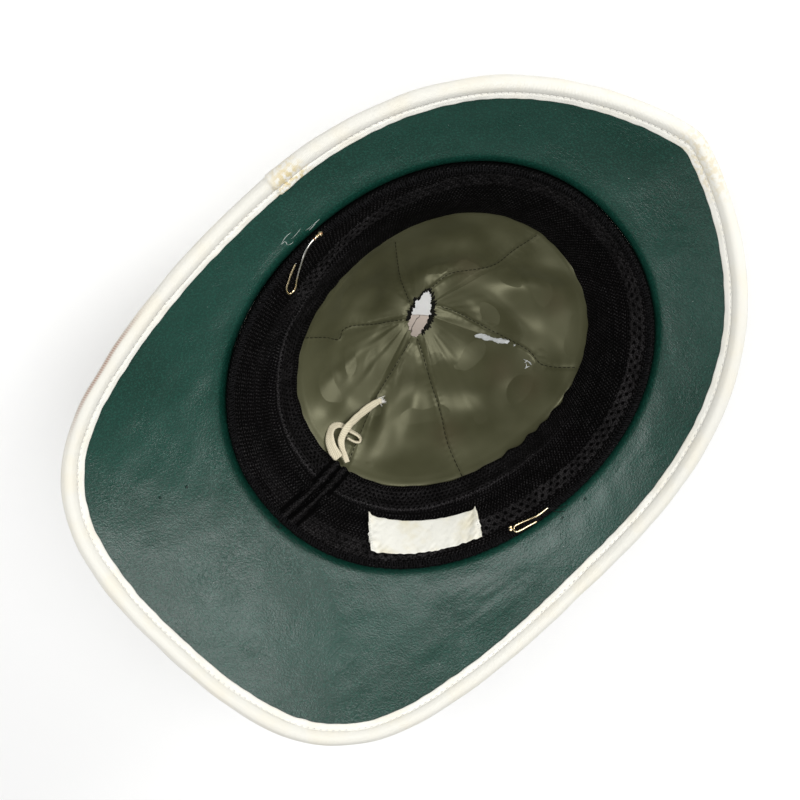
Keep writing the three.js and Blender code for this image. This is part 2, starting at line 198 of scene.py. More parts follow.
def turn_sign(rings: Array, closed: bool) -> float:
    """Whether rings of corners turn outwards, from the volume that they enclose.

    Args:
        rings: corners, ring by ring, each ring a closed loop.
        closed: whether the last ring meets the first.

    Returns:
        1 if their faces point out, and -1 if they point in.
    """
    here = rings if closed else rings[:-1]
    after = np.roll(rings, -1, 0) if closed else rings[1:]
    b_here = np.roll(here, -1, 1)
    b_after = np.roll(after, -1, 1)
    volume = (np.cross(here, after) * b_after).sum() + (np.cross(here, b_after) * b_here).sum()
    if not closed:
        for ring, way in ((rings[0], 1), (rings[-1], -1)):
            middle = ring.mean(0)
            volume += way * (np.cross(ring, np.roll(ring, -1, 0)) @ middle).sum()
    return 1.0 if volume > 0 else -1.0


def outward(rings: Array, closed: bool) -> Array:
    """The outward direction at each corner of rings."""
    if closed:
        along = np.roll(rings, -1, 0) - np.roll(rings, 1, 0)
    else:
        along = np.gradient(rings, axis=0)
    across = np.roll(rings, -1, 1) - np.roll(rings, 1, 1)
    return unit(np.cross(along, across) * turn_sign(rings, closed))


def measured(rings: Array, closed: bool) -> tuple[Array, Array]:
    """How far along and across each corner of a ring mesh lies, in millimetres.

    Args:
        rings: corners, ring by ring.
        closed: whether the last ring meets the first.

    Returns:
        Distances along the rings and round a ring, each with its closing value.
    """
    after = np.roll(rings, -1, 0) if closed else np.concatenate([rings[1:], rings[-1:]])
    along = np.linalg.norm(after - rings, axis=-1).mean(1)
    round_it = np.linalg.norm(np.roll(rings, -1, 1) - rings, axis=-1).mean(0)
    return np.append(0, np.cumsum(along)), np.append(0, np.cumsum(round_it))


def show(name: str, data: Any) -> Piece:
    """Puts mesh, light or camera data in the scene, as an object."""
    made = bpy.data.objects.new(name, data)
    bpy.context.scene.collection.objects.link(made)
    return made


def make_object(name: str, points: Array, faces: list, spots: Array) -> Piece:
    """A smooth mesh object with a map in millimetres.

    Args:
        name: the piece's name.
        points: corners in millimetres.
        faces: corner numbers of each face.
        spots: the map's place for each corner of each face.

    Returns:
        The object, in the scene.
    """
    mesh = bpy.data.meshes.new(name)
    mesh.from_pydata((points * MM).tolist(), [], faces)
    layer = mesh.uv_layers.new(name="Cloth")
    layer.uv.foreach_set("vector", spots.astype(np.float32).ravel())
    mesh.polygons.foreach_set("use_smooth", np.ones(len(mesh.polygons), bool))
    mesh.update()
    return show(name, mesh)


def ring_faces(count: int, size: int, closed: bool, flip: bool, along: Array, across: Array) -> tuple[list,
        Array]:
    """Faces of a mesh of rings, without its ends, and their places on the map."""
    i = np.arange(count if closed else count - 1)[:, None]
    j = np.arange(size)[None, :]
    i, j = np.broadcast_arrays(i, j)
    loops = [(i, j), (i + 1, j), (i + 1, j + 1), (i, j + 1)]
    if flip:
        loops = loops[::-1]
    quads = np.stack([(a % count) * size + b % size for a, b in loops], -1).reshape(-1, 4)
    spots = np.stack([np.stack([along[a], across[b]], -1) for a, b in loops], -2)
    return quads.tolist(), spots.reshape(-1, 2)


def ring_mesh(name: str, rings: Array, closed: bool) -> Piece:
    """A closed body made of rings of corners.

    Args:
        name: the piece's name.
        rings: corners in millimetres, ring by ring, each ring a closed loop.
        closed: whether the last ring meets the first. If not, both ends are capped.

    Returns:
        The object.
    """
    count, size, _ = rings.shape
    flip = turn_sign(rings, closed) < 0
    along, across = measured(rings, closed)
    faces, spots = ring_faces(count, size, closed, flip, along, across)
    points = rings.reshape(-1, 3)
    if not closed:
        points = np.concatenate([points, [rings[0].mean(0), rings[-1].mean(0)]])
        j = np.arange(size)
        k = (j + 1) % size
        ends = ((j, k, 0, 0), (k, j, (count - 1) * size, 1))
        for first, second, base, end in ends:
            middle = np.full(size, count * size + end)
            fan = np.stack([middle, base + first, base + second], -1)
            if flip:
                fan = fan[:, ::-1]
            faces += fan.tolist()
            spots = np.concatenate([spots, np.zeros((3 * size, 2)) + along[-1] * end])
    return make_object(name, points, faces, spots)


def add_map(piece: Piece, name: str, values: Array) -> None:
    """Adds a second map, with two values for each corner of the mesh."""
    mesh = piece.data
    corners = np.zeros(len(mesh.loops), np.int32)
    mesh.loops.foreach_get("vertex_index", corners)
    layer = mesh.uv_layers.new(name=name)
    layer.uv.foreach_set("vector", values[corners].astype(np.float32).ravel())


def frames_along(lines: Array, facing: Array) -> tuple[Array, Array]:
    """Directions across lines.

    Args:
        lines: points of each line, lines by points by 3.
        facing: the rough direction that their upper side faces, which broadcasts to lines.

    Returns:
        The sideways and the upward direction at each point.
    """
    ahead = unit(np.gradient(lines, axis=1))
    side = unit(np.cross(ahead, np.broadcast_to(facing, lines.shape)))
    return side, np.cross(side, ahead)


def tube_bundle(name: str, lines: Array, radii: Array, facing: Array, sides: int = 6,
        flatness: float = 1.0) -> Piece:
    """Many round or flattened threads as one mesh.

    Args:
        name: the piece's name.
        lines: points of each thread in millimetres, threads by points by 3.
        radii: the radius at each point of a thread.
        facing: the direction that their upper side faces, which broadcasts to lines.
        sides: corners round a thread.
        flatness: a thread's thickness over its width.

    Returns:
        The object.
    """
    count, steps, _ = lines.shape
    side, up = frames_along(lines, facing)
    angle = np.arange(sides) * TURN / sides
    radii = np.broadcast_to(radii, (count, steps))[..., None, None]
    rings = (lines[:, :, None] + radii * (side[:, :, None] * np.cos(angle)[:, None]
        + up[:, :, None] * np.sin(angle)[:, None] * flatness))
    flip = turn_sign(rings[0], False) < 0
    reach, girth = measured(rings[0], False)
    faces, spots = ring_faces(steps, sides, False, flip, reach, girth)
    quads = np.asarray(faces)
    ends = [list(range(sides)), [(steps - 1) * sides + k for k in range(sides)]]
    ends[0 if not flip else 1].reverse()
    caps = np.asarray(ends)[::-1] if not flip else np.asarray(ends)
    step = steps * sides * np.arange(count)[:, None, None]
    every = (quads[None] + step).reshape(-1, 4).tolist() + (caps[None] + step).reshape(-1, sides).tolist()
    places = np.concatenate([np.tile(spots, (count, 1)), np.zeros((count * 2 * sides, 2))])
    return make_object(name, rings.reshape(-1, 3), every, places)


@dataclass(frozen=True)
class Surface:
    """A mesh that smaller things are laid on."""

    tree: BVHTree

    @classmethod
    def of(cls, piece: Piece) -> "Surface":
        """The surface of a piece as it is made."""
        mesh = piece.data
        return cls(BVHTree.FromPolygons([v.co for v in mesh.vertices],
            [p.vertices[:] for p in mesh.polygons]))

    def under(self, spots: Array, lift: float = 0.0, sky: float = 400.0) -> Array:
        """The points straight below some places.

        Args:
            spots: x and y of each place, in millimetres.
            lift: how far above the surface the points lie.
            sky: the height to look down from.

        Returns:
            The points, with three coordinates each.
        """
        found = []
        for x, y in np.asarray(spots, float).reshape(-1, 2):
            spot, normal, _, _ = self.tree.ray_cast(Vector((x, y, sky)) * MM, Vector((0, 0, -1)))
            if spot is None:
                spot, normal = Vector((x, y, 0)) * MM, Vector((0, 0, 1))
            found.append((spot + normal * lift * MM) / MM)
        return np.asarray(found).reshape(np.asarray(spots).shape[:-1] + (3,))


# Shader nodes


class Web:
    """The nodes of one material, with its shader at their end."""

    def __init__(self, name: str) -> None:
        """Makes a material called name."""
        self.material = bpy.data.materials.new(name)
        self.material.use_nodes = True
        self.tree = self.material.node_tree
        self.shader = self.tree.nodes["Principled BSDF"]
        self.place = self.tree.nodes.new("ShaderNodeTexCoord").outputs["Object"]
        self.map = self.tree.nodes.new("ShaderNodeUVMap").outputs["UV"]
        self.along, self.across, _ = self.parts(self.map)

    def wire(self, socket: Socket, value: Any) -> None:
        """Links a socket to another one, or gives it a value."""
        if isinstance(value, Socket):
            self.tree.links.new(value, socket)
        else:
            socket.default_value = value

    def node(self, kind: str, wires: dict[Any, Any], **settings: Any) -> bpy.types.Node:
        """Adds a node.

        Args:
            kind: Blender's name for the node.
            wires: a value or a socket for each input.
            settings: the node's own settings.

        Returns:
            The node.
        """
        made = self.tree.nodes.new(kind)
        for key, value in settings.items():
            setattr(made, key, value)
        for key, value in wires.items():
            self.wire(made.inputs[key], value)
        return made

    def math(self, operation: str, *values: Any) -> Socket:
        """The result of a sum on values or sockets."""
        wires = dict(enumerate(values))
        return self.node("ShaderNodeMath", wires, operation=operation).outputs[0]

    def parts(self, vector: Any) -> Any:
        """The three parts of a vector."""
        return self.node("ShaderNodeSeparateXYZ", {0: vector}).outputs

    def plus(self, one: Any, other: Any) -> Socket:
        """The sum of two values."""
        return self.math("ADD", one, other)

    def minus(self, one: Any, other: Any) -> Socket:
        """One value less the other."""
        return self.math("SUBTRACT", one, other)

    def times(self, one: Any, other: Any) -> Socket:
        """The product of two values."""
        return self.math("MULTIPLY", one, other)

    def scaled(self, value: Any, factor: Any, start: Any) -> Socket:
        """A value times a factor, with a start added."""
        return self.math("MULTIPLY_ADD", value, factor, start)

    def unsigned(self, value: Any) -> Socket:
        """A value without its sign."""
        return self.math("ABSOLUTE", value)

    def blend_in(self, value: Any, low: float, high: float) -> Socket:
        """A smooth step from 0 at low to 1 at high, which may be below low."""
        wires = {"Value": value, "From Min": low, "From Max": high}
        return self.node("ShaderNodeMapRange", wires, interpolation_type="SMOOTHSTEP").outputs[0]

    def mix(self, share: Any, low: Any, high: Any) -> Socket:
        """A colour between low and high."""
        made = self.tree.nodes.new("ShaderNodeMix")
        made.data_type = "RGBA"
        colours = [s for s in made.inputs if s.type == "RGBA"]
        self.wire(made.inputs[0], share)
        for socket, value in zip(colours, (low, high)):
            self.wire(socket, tuple(value) + (1.0,) if isinstance(value, tuple) else value)
        return next(s for s in made.outputs if s.type == "RGBA")

    def mix_number(self, share: Any, low: Any, high: float) -> Socket:
        """A number between low and high."""
        rest = self.times(self.minus(1.0, share), low)
        return self.scaled(share, high, rest)

    def noise(self, size: float, detail: float = 2.0, at: Any = None) -> Socket:
        """Noise with patches of a size in millimetres, from 0 to 1."""
        wires = {"Vector": at or self.place, "Scale": 1 / (size * MM), "Detail": detail}
        return self.node("ShaderNodeTexNoise", wires).outputs[0]

    def cells(self, size: float, at: Any = None) -> Socket:
        """The distance to the nearest of scattered points, of a spacing in millimetres."""
        wires = {"Vector": at or self.place, "Scale": 1 / (size * MM)}
        return self.node("ShaderNodeTexVoronoi", wires, feature="SMOOTH_F1").outputs["Distance"]

    def stretched(self, x: float, y: float, z: float, turn: float = 0.0) -> Socket:
        """The place, scaled by axis and turned about Z by degrees."""
        wires = {"Vector": self.place, "Scale": (x, y, z), "Rotation": (0, 0, math.radians(turn))}
        return self.node("ShaderNodeMapping", wires).outputs[0]

    def spot(self, centre: Sequence[float], near: float, far: float) -> Socket:
        """1 within near of a point and 0 beyond far, in millimetres."""
        wires = {0: self.place, 1: tuple(value * MM for value in centre)}
        apart = self.node("ShaderNodeVectorMath", wires, operation="DISTANCE").outputs["Value"]
        return self.blend_in(apart, far * MM, near * MM)

    def wave(self, value: Any, period: float, shift: Any = 0.0) -> Socket:
        """A wave from -1 to 1 along a distance, in the distance's own unit."""
        turned = self.scaled(value, TURN / period, shift)
        return self.math("SINE", turned)

    def dots(self, pitch: Pair, near: float, far: float, across: Any = None) -> Socket:
        """Staggered dots on the map: 1 in a dot and 0 outside it.

        Args:
            pitch: the distance between dots along and across.
            near: the radius that is fully in the dot.
            far: the radius that is out of it.
            across: the distance across, if it isn't the map's.

        Returns:
            The share of a dot.
        """
        row = self.math("DIVIDE", across or self.across, pitch[1])
        odd = self.times(self.math("MODULO", self.math("FLOOR", row), 2.0), 0.5)
        column = self.plus(self.math("DIVIDE", self.along, pitch[0]), odd)
        offset = [self.scaled(self.math("FRACT", value), size, -size / 2)
            for value, size in ((column, pitch[0]), (row, pitch[1]))]
        square = self.plus(*(self.times(value, value) for value in offset))
        return self.blend_in(self.math("SQRT", square), far, near)

    def relief(self, height: Any, depth: float, under: Any = None) -> Socket:
        """Fine relief from a height between 0 and 1, of a depth in millimetres."""
        wires = {"Height": height, "Distance": depth * MM, "Strength": 1.0}
        if under is not None:
            wires["Normal"] = under
        return self.node("ShaderNodeBump", wires).outputs[0]

    def finish(self, colour: Any, roughness: Any, normal: Any = None, **constants: Any) -> Material:
        """Sets the shader's sockets.

        Args:
            colour: the base colour, as a socket or three numbers.
            roughness: a number or a socket.
            normal: the relief's normal.
            constants: other sockets by name, with _ for a space.

        Returns:
            The material.
        """
        colour = tuple(colour) + (1.0,) if isinstance(colour, tuple) else colour
        self.wire(self.shader.inputs["Base Color"], colour)
        self.wire(self.shader.inputs["Roughness"], roughness)
        if normal is not None:
            self.wire(self.shader.inputs["Normal"], normal)
        for name, value in constants.items():
            value = tuple(value) + (1.0,) if isinstance(value, tuple) else value
            self.shader.inputs[name.replace("_", " ")].default_value = value
        return self.material


# Finishes


@dataclass(frozen=True)
class CoverCloth:
    """White cotton drill, with its diagonal ribs and a little soil."""

    clean: Triple = (0.80, 0.785, 0.72)
    soiled: Triple = (0.70, 0.66, 0.55)
    rib: float = 0.7
    depth: float = 0.07

    def material(self) -> Material:
        """The drill."""
        web = Web("cover_cloth")
        line = web.parts(web.stretched(1, 1, 1, 40))
        slant = web.plus(line[0], line[2])
        rib = web.wave(slant, self.rib * MM, web.times(web.noise(3.0), 2.0))
        yarn = web.noise(0.5)
        height = web.plus(web.times(rib, 0.25), yarn)
        soil = web.blend_in(web.noise(38.0, 4.0), 0.52, 0.75)
        colour = web.mix(soil, self.clean, self.soiled)
        return web.finish(colour, 0.88, web.relief(height, self.depth), Sheen_Weight=0.25,
            Sheen_Roughness=0.6, Specular_IOR_Level=0.25)


@dataclass(frozen=True)
class PithInside:
    """The inside of the crown: white cloth, and bare pith with a crack beside it."""

    cloth: Triple = (0.80, 0.80, 0.78)
    pith: Triple = (0.62, 0.53, 0.46)
    dark: Triple = (0.10, 0.08, 0.06)
    edge: Pair = (-9.5, 1.0)
    slope: float = 0.95

    def material(self) -> Material:
        """The two areas and the crack, by place."""
        web = Web("pith_inside")
        x, y, _ = web.parts(web.place)
        wobble = web.times(web.noise(7.0), 3.0 * MM)
        line = web.scaled(x, -self.slope, web.plus(y, wobble))
        level = (self.edge[1] - self.slope * self.edge[0] + 2.0) * MM
        bare = web.blend_in(line, level + 0.3 * MM, level - 0.3 * MM)
        across = web.scaled(y, 0.35, x)
        bend = web.scaled(web.noise(4.0), 3.0 * MM, across)
        crack = web.unsigned(web.plus(bend, 5.2 * MM))
        cracked = web.times(web.blend_in(crack, 0.35 * MM, 0.12 * MM), bare)
        rim = web.times(web.blend_in(web.unsigned(web.minus(line, level)), 0.8 * MM, 0.1 * MM), 0.35)
        colour = web.mix(bare, self.cloth, self.pith)
        colour = web.mix(rim, colour, self.pith)
        colour = web.mix(cracked, colour, self.dark)
        height = web.plus(web.noise(1.1), web.times(bare, -2.0))
        return web.finish(colour, 0.9, web.relief(height, 0.2))


@dataclass(frozen=True)
class BindingCloth:
    """Ribbed cotton binding, with the needle's holes in its groove and old stains.

    The holes are a pitch apart. The groove and the roll's outer edge are distances across the map,
    and the stains at the join and the front tip and the dark rub on the edge are points.
    """

    pitch: float
    groove: float
    edge: float
    join: Array
    tip: Array
    rub: Array
    clean: Triple = (0.83, 0.82, 0.765)
    # roll_shade: the roll's colour, darker as painted shade where its outer side turns away from the light
    roll_shade: Triple = (0.755, 0.745, 0.69)
    worn: Triple = (0.78, 0.73, 0.60)
    glue: Triple = (0.62, 0.49, 0.22)
    grime: Triple = (0.34, 0.19, 0.13)
    rib: float = 0.62
    hole: Pair = (0.24, 0.42)

    def material(self) -> Material:
        """The binding."""
        web = Web("binding_cloth")
        slant = web.scaled(web.across, 0.45, web.along)
        rib = web.wave(slant, self.rib, web.times(web.noise(5.0), 1.5))
        height = web.scaled(rib, 0.45, web.noise(0.6))
        column = web.scaled(web.math("FRACT", web.math("DIVIDE", web.along, self.pitch)), self.pitch,
            -self.pitch / 2)
        apart = web.minus(web.across, self.groove)
        square = web.plus(web.times(column, column), web.times(apart, apart))
        hole = web.blend_in(web.math("SQRT", square), self.hole[1], self.hole[0])
        patches = web.blend_in(web.noise(16.0, 4.0), 0.42, 0.7)
        # Beyond the groove the roll takes the darker colour: painted shade on its outward side
        colour = web.mix(web.blend_in(web.across, self.groove - 0.3, self.groove + 1.0), self.clean,
            self.roll_shade)
        colour = web.mix(web.times(patches, 0.5), colour, self.worn)
        colour = web.mix(web.times(web.scaled(rib, -0.5, 0.5), 0.25), colour, self.worn)
        streaks = web.blend_in(web.noise(2.2, 3.0), 0.42, 0.6)
        stains = ((self.join, 3.0, 14.0, self.glue, 0.85), (self.tip, 6.0, 26.0, self.glue, 0.38))
        for centre, near, far, tint, most in stains:
            share = web.times(web.spot(centre, near, far), streaks)
            colour = web.mix(web.times(share, most), colour, tint)
        outer = web.unsigned(web.minus(web.across, self.edge))
        rubbed = web.times(web.spot(self.rub, 8.0, 42.0), web.blend_in(outer, 1.9, 0.3))
        grain = web.scaled(web.wave(web.along, 1.1), 0.25, 0.7)
        colour = web.mix(web.times(rubbed, grain), colour, self.grime)
        colour = web.mix(web.times(hole, 0.85), colour, (0.16, 0.15, 0.13))
        height = web.scaled(hole, -3.0, height)
        return web.finish(colour, 0.86, web.relief(height, 0.09), Sheen_Weight=0.2, Sheen_Roughness=0.6,
            Specular_IOR_Level=0.25)


@dataclass(frozen=True)
class Leathercloth:
    """Dark green coated cloth with a fine pebble grain and a soft sheen."""

    nicks: Sequence[Triple]
    deep: Triple = (0.002, 0.029, 0.019)
    faded: Triple = (0.005, 0.040, 0.028)
    nick: Triple = (0.003, 0.012, 0.009)

    def material(self) -> Material:
        """The leathercloth, with its nicks."""
        web = Web("green_leathercloth")
        pebble = web.cells(0.9)
        grain = web.scaled(pebble, 0.8, web.noise(0.55, 1.0))
        fine = web.stretched(1.0, 2.6, 1.0, 38)
        creases = web.unsigned(web.minus(web.noise(3.4, 2.0, fine), 0.5))
        creased = web.blend_in(creases, 0.0, 0.07)
        worn = web.blend_in(web.noise(20.0, 3.0), 0.45, 0.7)
        height = web.plus(grain, web.times(web.times(creased, worn), 0.7))
        patches = web.blend_in(web.noise(55.0, 3.0), 0.35, 0.7)
        colour = web.mix(patches, self.deep, self.faded)
        # Fine lighter speckles: painted glints of the pebble grain
        glint_speckle = web.times(web.blend_in(web.noise(0.9, 1.0), 0.45, 0.7), 0.4)
        colour = web.mix(glint_speckle, colour, tuple(2.2 * value for value in self.faded))
        for centre in self.nicks:
            cut = web.times(web.spot(centre, 0.3, 1.1), web.blend_in(web.noise(1.2), 0.38, 0.5))
            colour = web.mix(cut, colour, self.nick)
            height = web.scaled(cut, -2.5, height)
        rough = web.scaled(web.noise(30.0, 3.0), 0.14, 0.31)
        swell = web.relief(web.noise(9.0, 3.0), 0.3)
        return web.finish(colour, rough, web.relief(height, 0.13, swell), Specular_IOR_Level=0.55)


@dataclass(frozen=True)
class KnitMesh:
    """Black knitted mesh: rows of round holes between stretches of fine net.

    The rows of large and of small holes each have half their band's width, the two pitches and the
    hole's radius.
    """

    large: tuple[float, float, float, float]
    small: tuple[float, float, float, float]
    dark: Triple = (0.0006, 0.0005, 0.0005)
    thread: Triple = (0.13, 0.122, 0.124)
    rib: float = 1.35
    net: Pair = (1.75, 1.3)
    # welt_shading: painted shade in the rear seam's grooves and painted highlights on its two ridges, as
    # offset from the seam, width and light level
    welt_shading: tuple[Triple, ...] = ((0.0, 1.1, 0.0), (4.6, 1.3, 0.0), (-4.6, 1.3, 0.0), (2.3, 0.9, 0.16),
        (-2.3, 0.9, 0.13))

    def rows(self, web: Web, apart: Any, clear: Any, size: Sequence[float]) -> tuple[Socket, Socket]:
        """A band of staggered holes.

        Args:
            web: the material's nodes.
            apart: the distance from the band's middle, in millimetres.
            clear: how clear the holes are, from 0 to 1.
            size: half of the band's width, the two pitches and a hole's radius.

        Returns:
            The share of the band, and the share of a hole in it.
        """
        half, *pitch, hole = size
        band = web.times(clear, web.blend_in(web.unsigned(apart), half + 0.4, half - 0.3))
        dots = web.dots(pitch, hole * 0.7, hole * 1.15, web.plus(apart, 20 * pitch[1]))
        return band, web.times(dots, band)

    def material(self) -> Material:
        """The mesh."""
        web = Web("black_mesh")
        rows, clear, seam = (web.parts(web.node("ShaderNodeUVMap", {}, uv_map=name).outputs["UV"])
            for name in ("Rows", "Clear", "Seam"))
        (near, holes), (inner, small_holes) = (self.rows(web, rows[k], clear[k], size)
            for k, size in enumerate((self.large, self.small)))
        bands = web.math("MAXIMUM", near, inner)
        holes = web.math("MAXIMUM", holes, small_holes)
        fibre = web.noise(0.5, 1.0)
        net = web.minus(1.0, web.dots(self.net, 0.2, 0.75))
        slant = web.scaled(web.across, 0.3, web.along)
        rope = web.scaled(web.wave(slant, self.net[0]), 0.4, 0.6)
        wobble = web.scaled(web.noise(4.0, 2.0), 2.2, web.across)
        rib = web.scaled(web.wave(wobble, self.rib), 0.5, 0.5)
        plain = web.times(web.scaled(rib, 0.65, 0.35), web.times(net, rope))
        ladder = web.times(web.minus(1.0, holes), bands)
        weave = web.scaled(plain, web.scaled(bands, -0.8, 0.9), web.times(ladder, 0.62))
        patches = web.blend_in(web.noise(9.0, 3.0), 0.3, 0.75)
        light = web.times(web.math("POWER", weave, 1.6), web.scaled(patches, 0.3, 0.25))
        outer_line = web.unsigned(web.plus(rows[1], self.small[0] + 0.4))
        line = web.times(web.blend_in(outer_line, 0.8, 0.1), clear[1])
        light = web.scaled(line, 0.2, web.mix_number(web.times(inner, 0.45), light, 0.0))
        # Darkens the seam's grooves and lightens its ridges: painted shade and painted highlights
        for middle, width, share in self.welt_shading:
            apart = web.unsigned(web.minus(seam[0], middle))
            welt_shading = web.blend_in(apart, width, 0.4 * width)
            light = web.mix_number(welt_shading, light, share)
        light = web.times(light, web.blend_in(fibre, 0.36, 0.62))
        colour = web.mix(light, self.dark, self.thread)
        height = web.scaled(fibre, 0.35, weave)
        return web.finish(colour, 0.85, web.relief(height, 0.6), Specular_IOR_Level=0.04)


@dataclass(frozen=True)
class Satin:
    """Olive satin with a soft gloss, a fine weave and faint brown marks."""

    marks: Sequence[Triple]
    olive: Triple = (0.048, 0.048, 0.024)
    light: Triple = (0.070, 0.070, 0.038)
    brown: Triple = (0.066, 0.048, 0.028)

    def material(self) -> Material:
        """The satin, with its marks."""
        web = Web("olive_satin")
        shade = web.blend_in(web.noise(24.0, 2.0), 0.3, 0.7)
        colour = web.mix(shade, self.olive, self.light)
        for centre in self.marks:
            share = web.times(web.spot(centre, 1.0, 13.0), 0.3)
            colour = web.mix(share, colour, self.brown)
        line = web.parts(web.stretched(1, 1, 1, 26))
        weave = web.plus(web.times(web.wave(line[0], 0.55 * MM), 0.2), web.noise(0.7))
        return web.finish(colour, 0.43, web.relief(weave, 0.022), Specular_IOR_Level=1.0,
            Specular_Tint=(0.70, 0.68, 0.46), Sheen_Weight=0.1, Sheen_Roughness=0.4,
            Sheen_Tint=(0.8, 0.82, 0.55), Anisotropic=0.4)


@dataclass(frozen=True)
class LabelTape:
    """White woven label tape, a little yellowed."""

    white: Triple = (0.77, 0.76, 0.69)
    yellow: Triple = (0.70, 0.66, 0.52)

    def material(self) -> Material:
        """The tape."""
        web = Web("label_tape")
        weave = web.times(web.wave(web.along, 0.5), web.wave(web.across, 0.5))
        colour = web.mix(web.blend_in(web.noise(9.0, 3.0), 0.4, 0.75), self.white, self.yellow)
        swell = web.relief(web.noise(3.5, 2.0), 0.25)
        return web.finish(colour, 0.62, web.relief(web.scaled(weave, 0.3, web.noise(0.6)), 0.05, swell),
            Specular_IOR_Level=0.35)


@dataclass(frozen=True)
class Thread:
    """Sewing thread or braided yarn of one colour, with its twist."""

    name: str
    colour: Triple
    shade: float = 0.62
    twist: float = 0.5
    roughness: float = 0.85
    contrast: float = 0.3

    def material(self) -> Material:
        """The yarn."""
        web = Web(self.name)
        slant = web.plus(web.along, web.across)
        twist = web.scaled(web.wave(slant, self.twist), 0.5, 0.5)
        dull = tuple(self.shade * value for value in self.colour)
        patches = web.blend_in(web.noise(2.5, 3.0), 0.35, 0.7)
        share = web.scaled(patches, 0.7 - self.contrast, web.times(twist, self.contrast))
        height = web.scaled(twist, 0.6, web.noise(0.25))
        return web.finish(web.mix(share, dull, self.colour), self.roughness, web.relief(height, 0.06),
            Specular_IOR_Level=0.1)


@dataclass(frozen=True)
class BrassWire:
    """Bright drawn brass, grey on the millimetres still plated and brown on its tarnished share."""

    name: str
    length: float
    share: float
    brass: Triple = (0.85, 0.70, 0.44)
    plated: Triple = (0.75, 0.73, 0.68)
    tarnish: Triple = (0.34, 0.17, 0.08)

    def material(self) -> Material:
        """The wire."""
        web = Web(self.name)
        reach = web.scaled(web.noise(3.0, 2.0), 6.0, web.along)
        grey = web.blend_in(reach, self.length + 4.5, self.length + 1.5)
        brown = web.blend_in(web.noise(1.6, 3.0), 1.0 - self.share, 1.15 - self.share)
        colour = web.mix(brown, web.mix(grey, self.brass, self.plated), self.tarnish)
        rough = web.scaled(brown, 0.3, 0.2)
        return web.finish(colour, rough, web.relief(web.noise(0.4), 0.03), Metallic=1.0)


# The hat's form


@dataclass(frozen=True)
class Oval:
    """A slightly squared oval, as half its length and half its width.

    Its length is turned a few degrees from the hat's, towards +X at the front.
    """

    length: float
    width: float
    forward: float = 0.0
    fullness: float = 2.12
    turn: float = 4.0

    def reach(self, bearing: Array, margin: float = 0.0) -> Array:
        """Its reach from the hat's axis at bearings in degrees from the front."""
        angle = np.radians(bearing - self.turn)
        along = np.abs(np.cos(angle)) / (self.length + margin)
        across = np.abs(np.sin(angle)) / (self.width + margin)
        power = self.fullness
        forward = self.forward * np.cos(np.radians(bearing))
        return (along**power + across**power) ** (-1 / power) + forward


